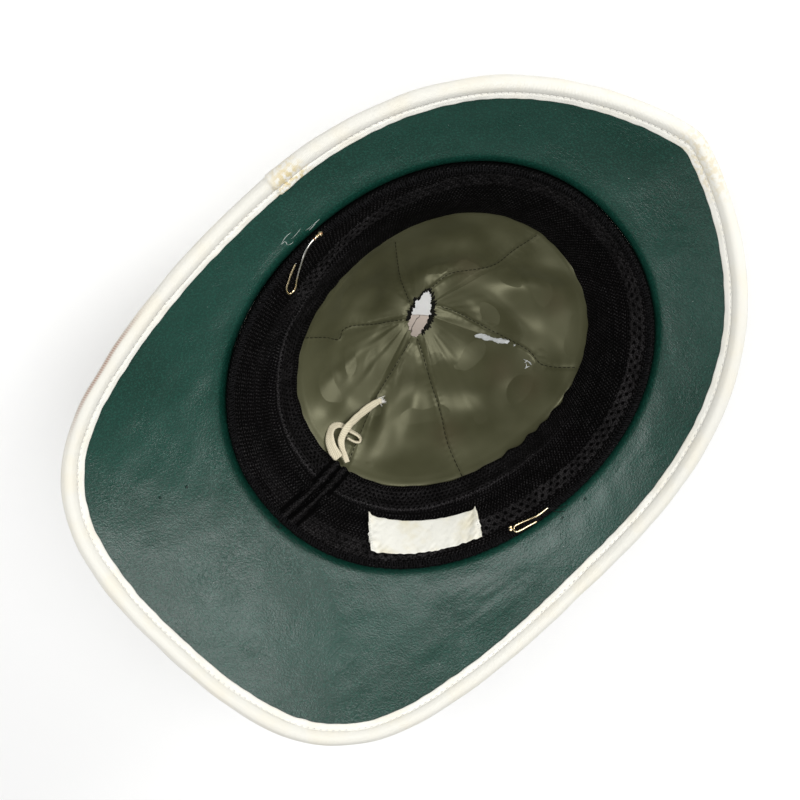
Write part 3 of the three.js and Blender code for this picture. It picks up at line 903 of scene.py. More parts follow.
@dataclass(frozen=True)
class HatForm:
    """The hat's main sizes and curves, as in the frame.

    A profile is an array of reach and height, stations round the hat by corners by 2.
    """

    apex_level: float = 10.0
    band_level: float = 132.0
    band_depth: float = 35.0
    shoulder_level: float = 108.0
    hole_level: float = 55.0
    rim_front: float = 152.0
    rim_side: float = 142.0
    rim_rear: float = 177.0
    outline: tuple[Pair, ...] = ((0, 161.3), (4, 159.3), (10, 155.4), (20, 149.2), (35, 141.0), (50, 132.7),
        (65, 126.0), (80, 122.4), (90, 122.2), (100, 124.6), (110, 130.1), (120, 138.9), (130, 151.2),
        (140, 166.6), (147, 175.5), (156, 180.3), (168, 178.0), (180, 175.6))
    band_oval: Oval = Oval(105.6, 87.2)
    band_mouth: Oval = Oval(75.1, 59.6, 2.1)
    gap: float = 0.3
    shell_wall: float = 4.2
    brim_wall: float = 2.8
    facing_wall: float = 0.9
    band_wall: float = 2.2
    dome_fullness: float = 2.4
    opening_roll: float = 6.0
    crown_fillet: float = 8.0
    brim_curve: float = 1.2
    brim_start: float = 0.1
    bead_radius: float = 3.25
    fold_width: float = 3.2
    band_bulge: float = 1.6
    leaf_height: float = 14.0
    lining_curve: float = 1.5
    panels: tuple[Pair, ...] = ((-131, 4.5), (-66, 4.0), (-5, 3.5), (53, 5.0), (126, 4.0), (176, 3.5))
    hole: Pair = (-14.0, 2.4)
    hole_half: Pair = (12.0, 4.8)
    hole_bearing: float = -27.0

    @property
    def axis_y(self) -> float:
        """Where the hat's axis crosses the frame's Y axis."""
        return (self.outline[-1][1] - self.outline[0][1]) / 2

    @property
    def brim_stack(self) -> float:
        """The thickness of the brim with its facing."""
        return self.brim_wall + self.gap + self.facing_wall

    def place(self, bearing: Array, profile: Array) -> Array:
        """Points from bearings in degrees and a profile."""
        angle = np.radians(np.broadcast_to(bearing, profile.shape[:-1]))
        return np.stack([profile[..., 0] * np.sin(angle), self.axis_y + profile[..., 0] * np.cos(angle),
            profile[..., 1]], -1)

    def rim_reach(self, bearing: Array) -> Array:
        """Reach of the brim's outer edge."""
        knots, values = np.array(self.outline, float).T
        slopes = np.zeros_like(values)
        slopes[1:-1] = (values[2:] - values[:-2]) / (knots[2:] - knots[:-2])
        return hermite(knots, values, slopes, np.abs(around(bearing)))

    def rim_level(self, bearing: Array) -> Array:
        """Height of the middle of the rim's roll."""
        ahead = np.cos(np.radians(bearing))
        end = np.where(ahead > 0, self.rim_front, self.rim_rear)
        return self.rim_side + (end - self.rim_side) * ahead**2

    def edge_skew(self, bearing: Array) -> Array:
        """How much longer a cut through the edge is on the bearing than square to the edge."""
        turn = 0.5
        change = self.rim_reach(bearing + turn) - self.rim_reach(bearing - turn)
        return np.hypot(1, change / math.radians(2 * turn) / self.rim_reach(bearing))

    def crown_inside(self, bearing: Array) -> Array:
        """Reach of the crown's inner wall."""
        return self.band_oval.reach(bearing, 2 * self.gap + self.facing_wall)

    def crown_outside(self, bearing: Array) -> Array:
        """Reach of the crown's outer wall."""
        return self.band_oval.reach(bearing, 2 * self.gap + self.facing_wall + self.shell_wall)

    def brim_ends(self, bearing: Array) -> tuple[Array, float, Array, Array]:
        """Reach and height of the brim's middle surface at the crown opening and in the roll."""
        low = self.band_level - self.facing_wall - 2 * self.gap
        low -= self.brim_wall - self.brim_stack / 2
        end = self.rim_reach(bearing) - self.bead_radius * self.edge_skew(bearing)
        start = self.crown_inside(bearing) + self.opening_roll
        return start, low, end, self.rim_level(bearing)

    def brim_lift(self, along: Array) -> tuple[Array, Array]:
        """The share of the brim's height at along, and how fast it grows there."""
        turn, power = self.brim_start, self.brim_curve
        far = np.maximum(along, turn)
        steep = power * far ** (power - 1)
        return far**power + steep * np.minimum(along - turn, 0), steep

    def brim_slope(self, bearing: Array, along: Array) -> Array:
        """Slope of the brim's middle surface, as an angle."""
        start, low, end, high = self.brim_ends(bearing)
        steep = self.brim_lift(np.asarray(along, float))[1] * self.edge_skew(bearing)
        return np.arctan(steep * (high - low) / (end - start))

    def brim_point(self, bearing: Array, along: Array, rise: Array, beyond: Any = 0.0) -> Array:
        """Profile points near the brim's middle surface.

        Args:
            bearing: bearings in degrees.
            along: 0 at the crown opening and 1 in the middle of the rim's roll.
            rise: how far square to the surface, towards the wearer.
            beyond: how far further out along it.

        Returns:
            The profile.
        """
        start, low, end, high = self.brim_ends(bearing)
        slope = self.brim_slope(bearing, along)
        reach = start + (end - start) * along + self.edge_skew(bearing) * (beyond * np.cos(slope)
            - rise * np.sin(slope))
        height = low + (high - low) * self.brim_lift(np.asarray(along, float))[0]
        height = height + beyond * np.sin(slope) + rise * np.cos(slope)
        return joined(reach, height)

    def arc(self, reach: Array, height: Any, radius: float, start: Any, end: Any, steps: int) -> Array:
        """A profile along an arc, with angles in degrees from straight out."""
        t = np.linspace(0, 1, steps + 1)[None, :]
        angle = np.radians(start + (end - start) * t)
        return joined(reach + radius * np.cos(angle), height + radius * np.sin(angle))

    def dome(self, radius: Array, top: float, steps: int) -> Array:
        """A profile down a dome, from just beside its top to the shoulder."""
        angle = np.linspace(0, math.pi / 2, steps + 1)[None, 1:]
        power = 2 / self.dome_fullness
        drop = np.where(angle > math.pi / 2 - 1e-9, 0.0, np.abs(np.cos(angle)) ** power)
        height = self.shoulder_level - (self.shoulder_level - top) * drop
        return joined(radius * np.sin(angle) ** power, height)

    def crown_reach_at(self, bearing: Array, level: Array) -> Array:
        """Reach of the crown's outer wall at heights."""
        share = (self.shoulder_level - level) / (self.shoulder_level - self.apex_level)
        power = self.dome_fullness
        wall = (1 - np.clip(share, 0, 1) ** power) ** (1 / power)
        return self.crown_outside(bearing) * wall

    def crown_foot(self, bearing: Array) -> tuple[Array, Array, Array]:
        """Where the fillet between the crown and the brim ends, its slope, and its level."""
        start, _, end, _ = self.brim_ends(bearing)
        below = -self.brim_stack / 2
        along = np.zeros_like(start)
        for _ in range(12):
            slope = self.brim_slope(bearing, along)
            reach = self.crown_outside(bearing) + self.crown_fillet * (1 - np.sin(slope))
            reach = reach + below * self.edge_skew(bearing) * np.sin(slope)
            along = (reach - start) / (end - start)
        slope = self.brim_slope(bearing, along)
        level = self.brim_point(bearing, along, below)[..., 1] - self.crown_fillet * np.cos(slope)
        return along, slope, level

    def band_point(self, bearing: Array, across: Array, rise: Any = 0.0) -> Array:
        """Profile points near the headband's visible face.

        Args:
            bearing: bearings in degrees.
            across: 0 at the folded edge and 1 at the band's mouth.
            rise: how far square to the face, towards the wearer.

        Returns:
            The profile.
        """
        fold = self.band_oval.reach(bearing) - self.fold_width
        run = fold - self.band_mouth.reach(bearing)
        length = np.hypot(run, self.band_depth)
        lift = rise + self.band_bulge * arch(across)
        reach = fold - run * across - lift * self.band_depth / length
        height = self.band_level - self.band_depth * across + lift * run / length
        return joined(reach, height)

    def lining_sag(self, bearing: Array) -> Array:
        """How far a panel of the lining hangs between its seams."""
        seams = np.array([seam for seam, _ in self.panels], float)
        sags = np.array([sag for _, sag in self.panels])
        turn = (bearing - seams[0]) % 360 + seams[0]
        index = np.searchsorted(seams, turn, side="right") - 1
        after = np.append(seams[1:], seams[0] + 360)[index]
        return sags[index] * arch((turn - seams[index]) / (after - seams[index]))

    def hole_edge(self, bearing: Array, spread: Any = 0.0) -> Array:
        """Points on the edge of the lining's hole, widened by spread."""
        angle = np.radians(bearing - self.hole_bearing)
        reach = 1 / np.hypot(np.cos(angle) / self.hole_half[0], np.sin(angle) / self.hole_half[1])
        reach = reach + spread
        turn = np.radians(bearing)
        x = self.hole[0] + reach * np.sin(turn)
        y = self.axis_y + self.hole[1] + reach * np.cos(turn)
        return joined(x, y, self.hole_level)

    def lining_point(self, bearing: Array, inwards: Array, spread: Any = 0.0) -> Array:
        """Points of the lining's face: inwards is 0 at the band's mouth and 1 at the hole."""
        start = self.place(bearing, self.band_point(bearing, 1.0, -self.band_wall - self.gap))
        end = self.hole_edge(bearing, spread)
        t = inwards[..., None]
        point = start + (end - start) * t
        drop = 1 - (1 - inwards) ** self.lining_curve
        height = start[..., 2] + (end[..., 2] - start[..., 2]) * drop
        point[..., 2] = height - self.lining_sag(bearing) * arch(inwards)
        return point


def stations(count: int) -> Array:
    """Even bearings round the hat in degrees, as a column."""
    return (np.arange(count) * 360 / count)[:, None]


def enter(piece: Piece, material: Material, slot: Slot, *nodes: str) -> Piece:
    """Gives a piece its finish and its body.

    Args:
        piece: the piece.
        material: its material.
        slot: not used.
        nodes: the solids that it stands for.

    Returns:
        The piece.
    """
    piece.data.materials.append(material)
    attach(piece, "root")
    if nodes:
        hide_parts(*nodes)
    log.info("%s: %d faces", piece.name, len(piece.data.polygons))
    return piece


def sew(name: str, lines: Any, radii: Any, thread: Thread, slot: Slot, up: Array = UP, sides: int = 6,
        flatness: float = 1.0) -> Piece:
    """Makes many short threads as one piece, with their finish."""
    made = tube_bundle(name, np.array(lines), np.array(radii), up, sides, flatness)
    return enter(made, thread.material(), slot)


# Sub-assemblies


@dataclass
class Studio:
    """The camera, the light and the floor.

    The camera looks into the head opening at the photograph's angle.
    """

    distance: float = 900.0
    focus: float = 1923.08
    frame_pixels: float = 800.0
    sensor: float = 36.0
    tilt: float = 14.415
    turn: float = 44.627
    target: Triple = (-3.61, -15.23, 132.0)
    floor_half: float = 4.0
    hat_middle: Triple = (-14.0, 10.0, 48.0)

    def directions(self) -> tuple[Vector, Vector, Vector]:
        """The camera's right, up and backward directions."""
        tilt, turn = math.radians(self.tilt), math.radians(self.turn)
        top = Vector((-math.cos(turn), math.sin(turn), 0))
        back = top * math.sin(tilt) + Vector((0, 0, math.cos(tilt)))
        right = top.cross(back).normalized()
        return right, back.cross(right), back

    def build_camera(self) -> None:
        """Makes the camera."""
        right, up, back = self.directions()
        data = bpy.data.cameras.new("camera")
        data.sensor_width = self.sensor
        data.lens = self.sensor * self.focus / self.frame_pixels
        data.clip_start, data.clip_end = 0.01, 20.0
        camera = show("camera", data)
        spot = (Vector(self.target) + back * self.distance) * MM
        turned = Matrix((right, up, back)).transposed().to_4x4()
        camera.matrix_world = Matrix.Translation(spot) @ turned
        bpy.context.scene.camera = camera

    def light(self, name: str, way: Sequence[float], reach: float, size: float, power: float) -> None:
        """Hangs a square soft light.

        Args:
            name: the light's name.
            way: how far it lies to the picture's right, to its top, and above, as shares.
            reach: its distance from the hat in metres.
            size: its side in metres.
            power: its power in watts.
        """
        right, _, _ = self.directions()
        top = Vector((0, 0, 1)).cross(right).normalized()
        aim = (right * way[0] + top * way[1] + Vector((0, 0, way[2]))).normalized()
        data = bpy.data.lights.new(name, "AREA")
        data.size = size
        data.energy = power
        lamp = show(name, data)
        lamp.location = aim * reach + Vector(self.hat_middle) * MM
        lamp.rotation_mode = "QUATERNION"
        lamp.rotation_quaternion = aim.to_track_quat("Z", "Y")

    def build(self) -> None:
        """Makes the lights, the pale surroundings and the floor."""
        self.light("overhead", (0.03, 0.09, 1.0), 2.2, 1.5, 34.5)
        self.light("window", (0.73, 0.50, 0.46), 1.9, 0.6, 17.0)
        self.light("side_window", (-0.36, 0.26, 0.89), 1.9, 0.5, 6.0)
        self.light("left_window", (-0.76, -0.36, 0.54), 1.9, 0.6, 2.5)
        self.light("glow", (0.0, 0.0, 1.0), 0.0, 0.05, 0.012)
        world = bpy.data.worlds.new("surroundings")
        world.use_nodes = True
        sky = world.node_tree.nodes["Background"]
        sky.inputs["Color"].default_value = (1.0, 1.0, 1.0, 1.0)
        sky.inputs["Strength"].default_value = 0.27
        bpy.context.scene.world = world
        bpy.context.scene.view_settings.view_transform = "Standard"
        half = self.floor_half
        mesh = bpy.data.meshes.new("floor")
        corners = [(x * half, y * half, -0.0003) for x, y in ((-1, -1), (1, -1), (1, 1), (-1, 1))]
        mesh.from_pydata(corners, [], [(0, 1, 2, 3)])
        floor = show("floor", mesh)
        web = Web("pale_floor")
        tone = web.mix(web.noise(400.0), (0.90, 0.90, 0.90), (0.92, 0.92, 0.915))
        mesh.materials.append(web.finish(tone, 0.8))


@dataclass(frozen=True)
class Strand:
    """One stretch of flat braid.

    Each row of its route is a point in millimetres, how far the braid leans over there in degrees,
    its width and its thickness.
    """

    route: tuple[tuple[float, float, float, float, float, float], ...]
    count: int
    ravel: float = 0.0
    yarn_pitch: float = 1.15
    yarn_height: float = 0.22
    sides: int = 32

    def path(self) -> Array:
        """The middle of the braid."""
        return smooth_path([row[:3] for row in self.route], self.count)

    def piece(self, name: str) -> Piece:
        """The braid as a mesh called name."""
        line = self.path()
        s = lengths(line)[:, None]
        rows = np.array(self.route, float)
        at, marks = np.linspace(0, 1, self.count), np.linspace(0, 1, len(rows))
        lean, width, thickness = (np.interp(at, marks, column)[:, None] for column in rows.T[3:])
        side, up = (part[0] for part in frames_along(line[None], UP))
        lean = np.radians(lean)
        flat = side * np.cos(lean) + up * np.sin(lean)
        high = up * np.cos(lean) - side * np.sin(lean)
        angle = np.arange(self.sides) * TURN / self.sides
        across = np.sign(np.cos(angle)) * np.abs(np.cos(angle)) ** 0.75
        off = np.sign(np.sin(angle)) * np.abs(np.sin(angle)) ** 0.8
        turn = s / self.yarn_pitch - np.abs(across) * 0.9 + 0.5 * (off > 0)
        yarn = np.abs(arch(turn)) ** 0.7 - 0.8 * bell(across, 0.13) - 0.5
        swell = 1 + 0.05 * Ripple(5, 6.0).at(s)[:, None]
        end = blend_in(1 - self.ravel, 1.0, s / s[-1]) if self.ravel else np.zeros_like(s)
        spot = joined(s, across * 3, off)
        rough = 0.3 * end * Ripple(9, 1.3).at(spot)
        half = width / 2 * swell + self.yarn_height * 0.35 * yarn - 0.5 * end + rough
        deep = thickness / 2 + self.yarn_height * yarn * (1 - end) + 0.25 * end + rough
        rings = (line[:, None] + (half * across)[..., None] * flat[:, None]
            + (deep * off)[..., None] * high[:, None])
        return ring_mesh(name, rings, False)


@dataclass
class Drawstring:
    """The lining's drawstring: two ends of a cotton braid, one of them looped back flat."""

    diameter: float = 3.6
    left: Strand = Strand(((2.9, -64.1, 95.4, 0, 5.4, 1.35), (0.8, -63.9, 95.2, 0, 5.4, 1.35),
        (-2.2, -63.1, 94.5, 5, 5.2, 1.35), (-5.6, -61.5, 93.1, 12, 4.8, 1.35),
        (-8.2, -59.1, 91.1, 22, 4.2, 1.35), (-9.1, -56.5, 88.8, 38, 4.0, 1.3),
        (-7.8, -54.1, 86.7, 50, 3.8, 1.3), (-5.0, -52.8, 85.7, 58, 3.6, 1.2),
        (-1.9, -52.4, 85.2, 62, 3.4, 1.2), (1.2, -51.8, 84.4, 72, 3.3, 1.15),
        (3.6, -51.4, 84.0, 80, 3.3, 1.15), (5.5, -51.8, 84.3, 85, 3.3, 1.15),
        (5.9, -53.1, 85.4, 85, 3.3, 1.15), (4.4, -54.3, 86.4, 80, 3.3, 1.15),
        (1.8, -55.1, 87.0, 76, 3.3, 1.15), (-0.1, -55.5, 87.3, 70, 3.2, 1.15)), 330)
    right: Strand = Strand(((7.6, -62.7, 94.4, 0, 2.6, 1.45), (3.7, -61.1, 93.0, 0, 2.7, 1.45),
        (0.5, -59.6, 91.6, 0, 3.0, 1.4), (-1.9, -57.6, 90.7, -8, 3.5, 1.35),
        (-3.4, -54.5, 90.6, -14, 3.7, 1.35), (-4.1, -50.9, 89.3, -12, 3.7, 1.35),
        (-3.7, -47.3, 85.1, -8, 3.7, 1.35), (-2.7, -43.4, 80.1, -5, 3.8, 1.35),
        (-1.5, -39.2, 75.6, 0, 3.8, 1.35), (-0.1, -35.4, 72.3, 0, 3.6, 1.4),
        (1.0, -33.4, 70.8, 0, 3.4, 1.4)), 320, 0.12)
    fray_length: float = 2.5

    def build(self) -> None:
        """Makes the two ends and the frayed yarns."""
        cotton = Thread("cream_cotton", (0.84, 0.76, 0.56), 0.6, 1.15, 0.85, 0.6).material()
        left = enter(self.left.piece("tie_end_left"), cotton, Slot.COTTON, "tie_cord_left", "tie_knot")
        right = enter(self.right.piece("tie_end_right"), cotton, Slot.COTTON, "tie_cord_right")
        self.fray()

    def fray(self) -> Piece:
        """The loose yarns at the right end's tip."""
        random = np.random.default_rng(12)
        line = self.right.path()
        tip, ahead = line[-1], (line[-1] - line[-9]) / np.linalg.norm(line[-1] - line[-9])
        t = np.linspace(0, 1, 7)[None, :, None]
        start = tip + random.normal(size=(46, 1, 3)) * (0.75, 0.75, 0.3) - ahead * 1.2
        spread = random.normal(size=(46, 1, 3)) * (0.9, 0.9, 0.5)
        length = random.uniform(0.35, 1.0, (46, 1, 1)) * self.fray_length
        lines = start + ahead * t * length + spread * t**1.6
        return sew("tie_fray", lines, np.linspace(0.24, 0.1, 7),
            Thread("frayed_cotton", (0.84, 0.82, 0.77), 0.85, 0.4), Slot.COTTON, UP, 5)


@dataclass
class Crown:
    """The crown and brim in one shell, its hatband and its ventilator button."""

    form: HatForm
    stations: int = 336
    gores: tuple[float, ...] = (0.0, 60.0, 120.0, 180.0, 240.0, 300.0)
    seam_half: float = 3.0
    seam_height: float = 0.45
    seam_stitch: float = 3.2
    hatband_folds: tuple[Pair, ...] = ((90, 1.2), (91, 2.2), (99, 1.6), (100, 2.6), (108, 1.8), (109, 2.8),
        (117, 2.2))
    button: tuple[Pair, ...] = ((15.6, 0.0), (16.0, 0.02), (17.4, 0.5), (18.6, 1.4), (19.2, 3.0),
        (19.0, 4.6), (18.0, 6.0), (15.0, 6.9), (12.0, 7.5), (11.1, 8.6), (11.0, 9.7))

    def cover_profile(self) -> tuple[Array, int]:
        """The shell's profile, pole to pole, and the number of its outer corners."""
        form, bearing = self.form, stations(self.stations)
        below, above = -form.brim_stack / 2, form.brim_wall - form.brim_stack / 2
        along, slope, level = form.crown_foot(bearing)
        outside = form.crown_outside(bearing)
        inside = form.crown_inside(bearing)
        lean = form.brim_slope(bearing, 0.0)
        _, low, _, high = form.brim_ends(bearing)
        roll = low + (high - low) * form.brim_lift(0.0)[0] + (above - form.opening_roll) / np.cos(lean) - 0.1
        wall = np.linspace(0, 1, 8)[None, 1:-1]
        straight = joined(outside, form.shoulder_level + (level - form.shoulder_level) * wall)
        under = along + (1 - along) * np.linspace(0, 1, 34)[None, 1:]
        over = np.linspace(1, 0.12, 8)[None, :]
        rows = [form.dome(outside, form.apex_level, 64), straight,
            form.arc(outside + form.crown_fillet, level, form.crown_fillet, 180.0, 90 + np.degrees(slope),
            8), form.brim_point(bearing, under, below), form.brim_point(bearing, over, above),
            form.arc(inside + form.opening_roll, roll, form.opening_roll, 90.0 + np.degrees(lean), 180.0, 4),
            form.dome(inside, form.apex_level + form.shell_wall, 26)[:, ::-1],]
        return np.concatenate(rows, 1), sum(row.shape[1] for row in rows[:4])

    def build_cover(self) -> None:
        """Makes the shell: pith covered with cloth in gores, and cloth and bare pith inside."""
        profile, outer = self.cover_profile()
        bearing = stations(self.stations)
        rings = self.form.place(bearing, profile).transpose(1, 0, 2)
        normal = outward(rings, False)
        gap = np.abs(around(bearing - np.array(self.gores))).min(1)
        reach = np.hypot(rings[..., 0], rings[..., 1] - self.form.axis_y)
        apart = np.radians(gap)[None] * reach
        seam = self.seam_height * (1 - blend_in(self.seam_half - 0.5, self.seam_half + 0.5, apart))
        seam -= 0.3 * bell(apart, 0.45)
        soft = 0.22 * Ripple(31, 26.0).at(rings) + 0.08 * Ripple(32, 8.0).at(rings)
        shown = (np.arange(len(rings)) < outer)[:, None]
        fade = np.clip(reach / 20.0, 0, 1)
        rings = rings + normal * ((seam * fade + soft) * shown)[..., None]
        cover = ring_mesh("cover", rings, False)
        enter(cover, CoverCloth().material(), Slot.COVER, "shell")
        cover.data.materials.append(PithInside().material())
        first_inside = (outer + 4) * self.stations
        index = np.zeros(len(cover.data.polygons), np.int32)
        index[first_inside:(len(rings) - 1) * self.stations] = 1
        index[-self.stations:] = 1
        cover.data.polygons.foreach_set("material_index", index)
        self.build_seam_stitches(rings, normal, outer)

    def build_seam_stitches(self, rings: Array, normal: Array, outer: int) -> None:
        """Sews two rows of stitches down each gore's seam."""
        lines = []
        for bearing in self.gores:
            for way in (-1, 1):
                side = math.radians(bearing)
                shift = way * (self.seam_half - 0.9) * np.array([math.cos(side), -math.sin(side), 0])
                index = int(round(bearing / 360 * self.stations)) % self.stations
                start = 12
                line = rings[start:outer - 2, index] + shift
                off = normal[start:outer - 2, index]
                length = lengths(line)
                for at in np.arange(2.0, length[-1] - 4.0, self.seam_stitch):
                    s = at + np.linspace(0, 0.72, 5) * self.seam_stitch
                    point, up = (read_at(s, length, part) for part in (line, off))
                    lift = np.array([-0.18, 0.04, 0.1, 0.04, -0.18])[:, None]
                    lines.append(point + up * lift)
        sew("cover_stitches", lines, [0.12, 0.24, 0.27, 0.24, 0.12],
            Thread("white_thread", (0.80, 0.78, 0.70), 0.85, 0.4), Slot.COVER, np.array([0.3, 0.2, 1.0]), 5)

    def build_hatband(self) -> None:
        """Makes the folded cloth band round the foot of the crown."""
        form, bearing = self.form, stations(260)
        lapped = []
        for low, high in zip(self.hatband_folds[:-1], self.hatband_folds[1:]):
            steep = high[0] - low[0] < 2
            count = 5 if steep else 18
            t = np.linspace(0, 1, count, endpoint=False)
            level = low[0] + (high[0] - low[0]) * t
            bulge = 0 if steep else 0.55 * arch(t)
            lapped.append(np.stack([low[1] + (high[1] - low[1]) * t + bulge, level], -1))
        back = [(0.0, level) for level in (117.0, 112.0, 108.0, 102.0, 96.0, 90.0)]
        section = np.concatenate(lapped + [[self.hatband_folds[-1][::-1]], back])
        level = section[None, :, 1]
        wander = 0.35 * np.sin(np.radians(bearing) * 3 + 0.6) * (section[None, :, 0] > 0)
        off = section[None, :, 0] * np.ones_like(bearing)
        reach = form.crown_reach_at(bearing, level) + form.gap + off
        profile = joined(reach, level + wander)
        rings = form.place(bearing, profile)
        shown = (section[:, 0] > 0)[None, :]
        crumple = 0.28 * Ripple(41, 13.0).at(rings * (1, 1, 2.2)) + 0.1 * Ripple(42, 5.0).at(rings)
        rings = rings + outward(rings, True) * (crumple * shown)[..., None]
        enter(ring_mesh("hatband_cloth", rings, True), CoverCloth((0.79, 0.775, 0.71), (0.66, 0.62, 0.52),
            0.5, 0.05).material(), Slot.COVER, "hatband")

    def build_button(self) -> None:
        """Makes the cloth-covered ventilator button that the hat stands on."""
        bearing = stations(180)
        curve = np.concatenate([[(r, 0.0) for r in (3.0, 7.0, 11.0, 14.0)], self.button,
            [(8.0, 9.7), (4.0, 9.7)]])
        profile = np.broadcast_to(curve[None], (180, len(curve), 2)).copy()
        gathers = 0.16 * np.sin(np.radians(bearing) * 24) * bell(curve[None, :, 1] - 5.2, 2.4)
        profile[..., 0] += gathers * (curve[None, :, 0] > 12)
        rings = self.form.place(bearing, profile).transpose(1, 0, 2)
        enter(ring_mesh("button", rings, False), CoverCloth(rib=0.5).material(), Slot.COVER, "vent_cap")

    def build(self) -> None:
        """Makes every piece of the crown."""
        self.build_cover()
        self.build_hatband()
        self.build_button()


@dataclass
class Brim:
    """The green facing under the brim and the binding round its rim."""

    form: HatForm
    facing_stations: int = 760
    binding_stations: int = 1140
    half_section: tuple[Pair, ...] = ((-6.7, 2.35), (-6.65, 2.95), (-6.3, 3.2), (-5.2, 3.25), (-4.1, 3.18),
        (-3.3, 2.72), (-2.6, 3.25), (-1.2, 3.62), (0.4, 3.62), (1.7, 3.0), (2.7, 1.9))
    groove_out: float = -3.3
    stitch_pitch: float = 3.1
    join_bearing: float = -85.6
    join_height: float = 0.6
    tip_bearing: float = 4.0
    rub_bearing: float = -132.0
    scuffs: tuple[tuple[float, float, float, float, float], ...] = ((-94.3, -2.5, -94.1, 0.0, 0.3),
        (-94.1, 0.0, -92.0, -0.7, 0.3), (-92.0, -0.7, -91.2, 2.5, 0.24), (-94.3, -2.1, -95.0, 5.2, 0.3),
        (-92.7, 2.6, -93.2, 9.5, 0.24), (-89.6, 11.0, -89.9, 15.6, 0.42), (-90.2, 14.0, -90.0, 18.5, 0.36),
        (-90.8, 10.0, -90.6, 14.5, 0.2))
    nicks: tuple[Triple, ...] = ((-45.4, -114.2, 141.1), (-51.6, -124.7, 148.8), (91.8, -1.1, 131.2),
        (92.5, 13.0, 131.1))

    def facing_rings(self) -> Array:
        """The facing's corners: its face, the turn into the crown, and its back."""
        form, bearing = self.form, stations(self.facing_stations)
        top, back = form.brim_stack / 2, form.brim_stack / 2 - form.facing_wall
        inside = form.crown_inside(bearing)
        start, low, _, high = form.brim_ends(bearing)
        slope = form.brim_slope(bearing, 0.0)
        turn = form.opening_roll + form.gap
        level = low + (high - low) * form.brim_lift(0.0)[0] + (top - turn - form.facing_wall) / np.cos(slope)
        centre, upright = start, 90.0 + np.degrees(slope)
        wall = level - np.linspace(0, form.leaf_height, 7)[None, 1:]
        hem = inside - form.gap
        rows = [form.brim_point(bearing, np.linspace(1, 0, 58)[None, :-1], top),
            form.arc(centre, level, turn + form.facing_wall, upright, 180.0, 11),
            joined(hem - form.facing_wall, wall), joined(hem, wall[:, ::-2]),
            form.arc(centre, level, turn, 180.0, upright, 3),
            form.brim_point(bearing, np.array([[0.15, 0.4, 0.7, 1.0]]), back),]
        profile = np.concatenate(rows, 1)
        return form.place(bearing, profile)

    def build_facing(self) -> Piece:
        """Makes the facing, with its soft waves and the wrinkles at the front."""
        form = self.form
        rings = self.facing_rings()
        face = np.arange(rings.shape[1]) < 57
        reach = np.hypot(rings[..., 0], rings[..., 1] - form.axis_y)
        bearing = stations(self.facing_stations)
        edge = (form.rim_reach(bearing) - reach) / 12.0
        calm = blend_in(1.05, 2.2, edge) * face[None]
        waves = 0.42 * Ripple(51, 42.0).at(rings) + 0.16 * Ripple(52, 15.0).at(rings)
        tip = bell(np.linalg.norm(rings - (42.0, 128.0, 146.0), axis=-1), 36.0)
        side = bell(np.linalg.norm(rings - (96.0, -50.0, 142.0), axis=-1), 22.0)
        crease = Ripple(53, 5.0).at(rings * (1.0, 0.35, 1.0)) * 0.13
        relief = (waves + crease * (tip + side)) * calm
        rings[..., 2] += relief
        facing = ring_mesh("facing", rings, True)
        enter(facing, Leathercloth(self.nicks).material(), Slot.FACING, "brim_facing")
        area = float(np.pi * (form.rim_reach(bearing).mean() ** 2 - 95.0**2)) * MM * MM * 1.15
        return facing

    def binding_section(self) -> tuple[Array, int]:
        """The binding's section as out and off, and the number of corners on the near side."""
        near = smooth_path(list(self.half_section) + [(3.25, 0.0)], 46)
        far = smooth_path([(3.25, 0.0)] + [(out, -off) for out, off in self.half_section[::-1]], 24)[1:]
        inner = np.array([(-4.0, -2.35), (0.4, -2.35), (0.4, 0.0), (0.4, 2.35), (-4.0, 2.35)])
        return np.concatenate([near, far, inner]), len(near)

    def build_binding(self) -> None:
        """Makes the binding, its stitches and its overlapped join."""
        form, bearing = self.form, stations(self.binding_stations)
        section, near = self.binding_section()
        out, off = section[None, :, 0], section[None, :, 1]
        rings = form.place(bearing, form.brim_point(bearing, 1.0, off, out))
        normal = outward(rings, True)
        along, across = measured(rings, True)
        total = along[-1]
        pitch = total / round(total / self.stitch_pitch)
        s = along[:-1, None]
        outside = np.arange(len(section)) < near + 23
        groove = bell(np.abs(out - self.groove_out) * np.ones_like(s), 1.3) * (off > 0)
        wander = 0.5 + 0.5 * Ripple(61, 60.0).at(s)[:, None]
        pucker = 0.10 * wander * np.cos(TURN * s / pitch) * groove
        strip = 0.16 * Ripple(62, 9.0).at(joined(s, out * 1.5))
        roll = 0.2 * Ripple(63, 24.0).at(rings)
        lap = self.lap(bearing, total)
        rise = pucker + strip * (out < -3.5) + roll * (out > -3.0) + lap
        rings = rings + normal * (rise * outside)[..., None]
        binding = ring_mesh("binding", rings, True)
        marks = [self.spot(value, 1.0, height, reach) for value, reach, height in (
            (self.join_bearing + 4.0, -4.5, 3.0), (self.tip_bearing, 1.5, 2.5),
            (self.rub_bearing, 3.0, 0.0))]
        groove_at = float(np.interp(self.groove_out, section[:near, 0], across[:near]))
        edge_at = float(across[near - 1])
        cloth = BindingCloth(pitch, groove_at, edge_at, *marks).material()
        enter(binding, cloth, Slot.BINDING, "rim_binding")
        self.build_stitches(bearing, total, pitch)

    def spot(self, bearing: float, along: float, off: float, out: float = 0.0) -> Array:
        """A point of the brim."""
        at = np.array([[bearing]])
        return self.form.place(at, self.form.brim_point(at, along, off, out))[0, 0]

    def lap(self, bearing: Array, total: float) -> Array:
        """How much thicker the binding is where one end is lapped over the other."""
        past = around(bearing - self.join_bearing) / 360 * total
        return self.join_height * (past > 0) * np.exp(-np.maximum(past, 0) / 26.0)

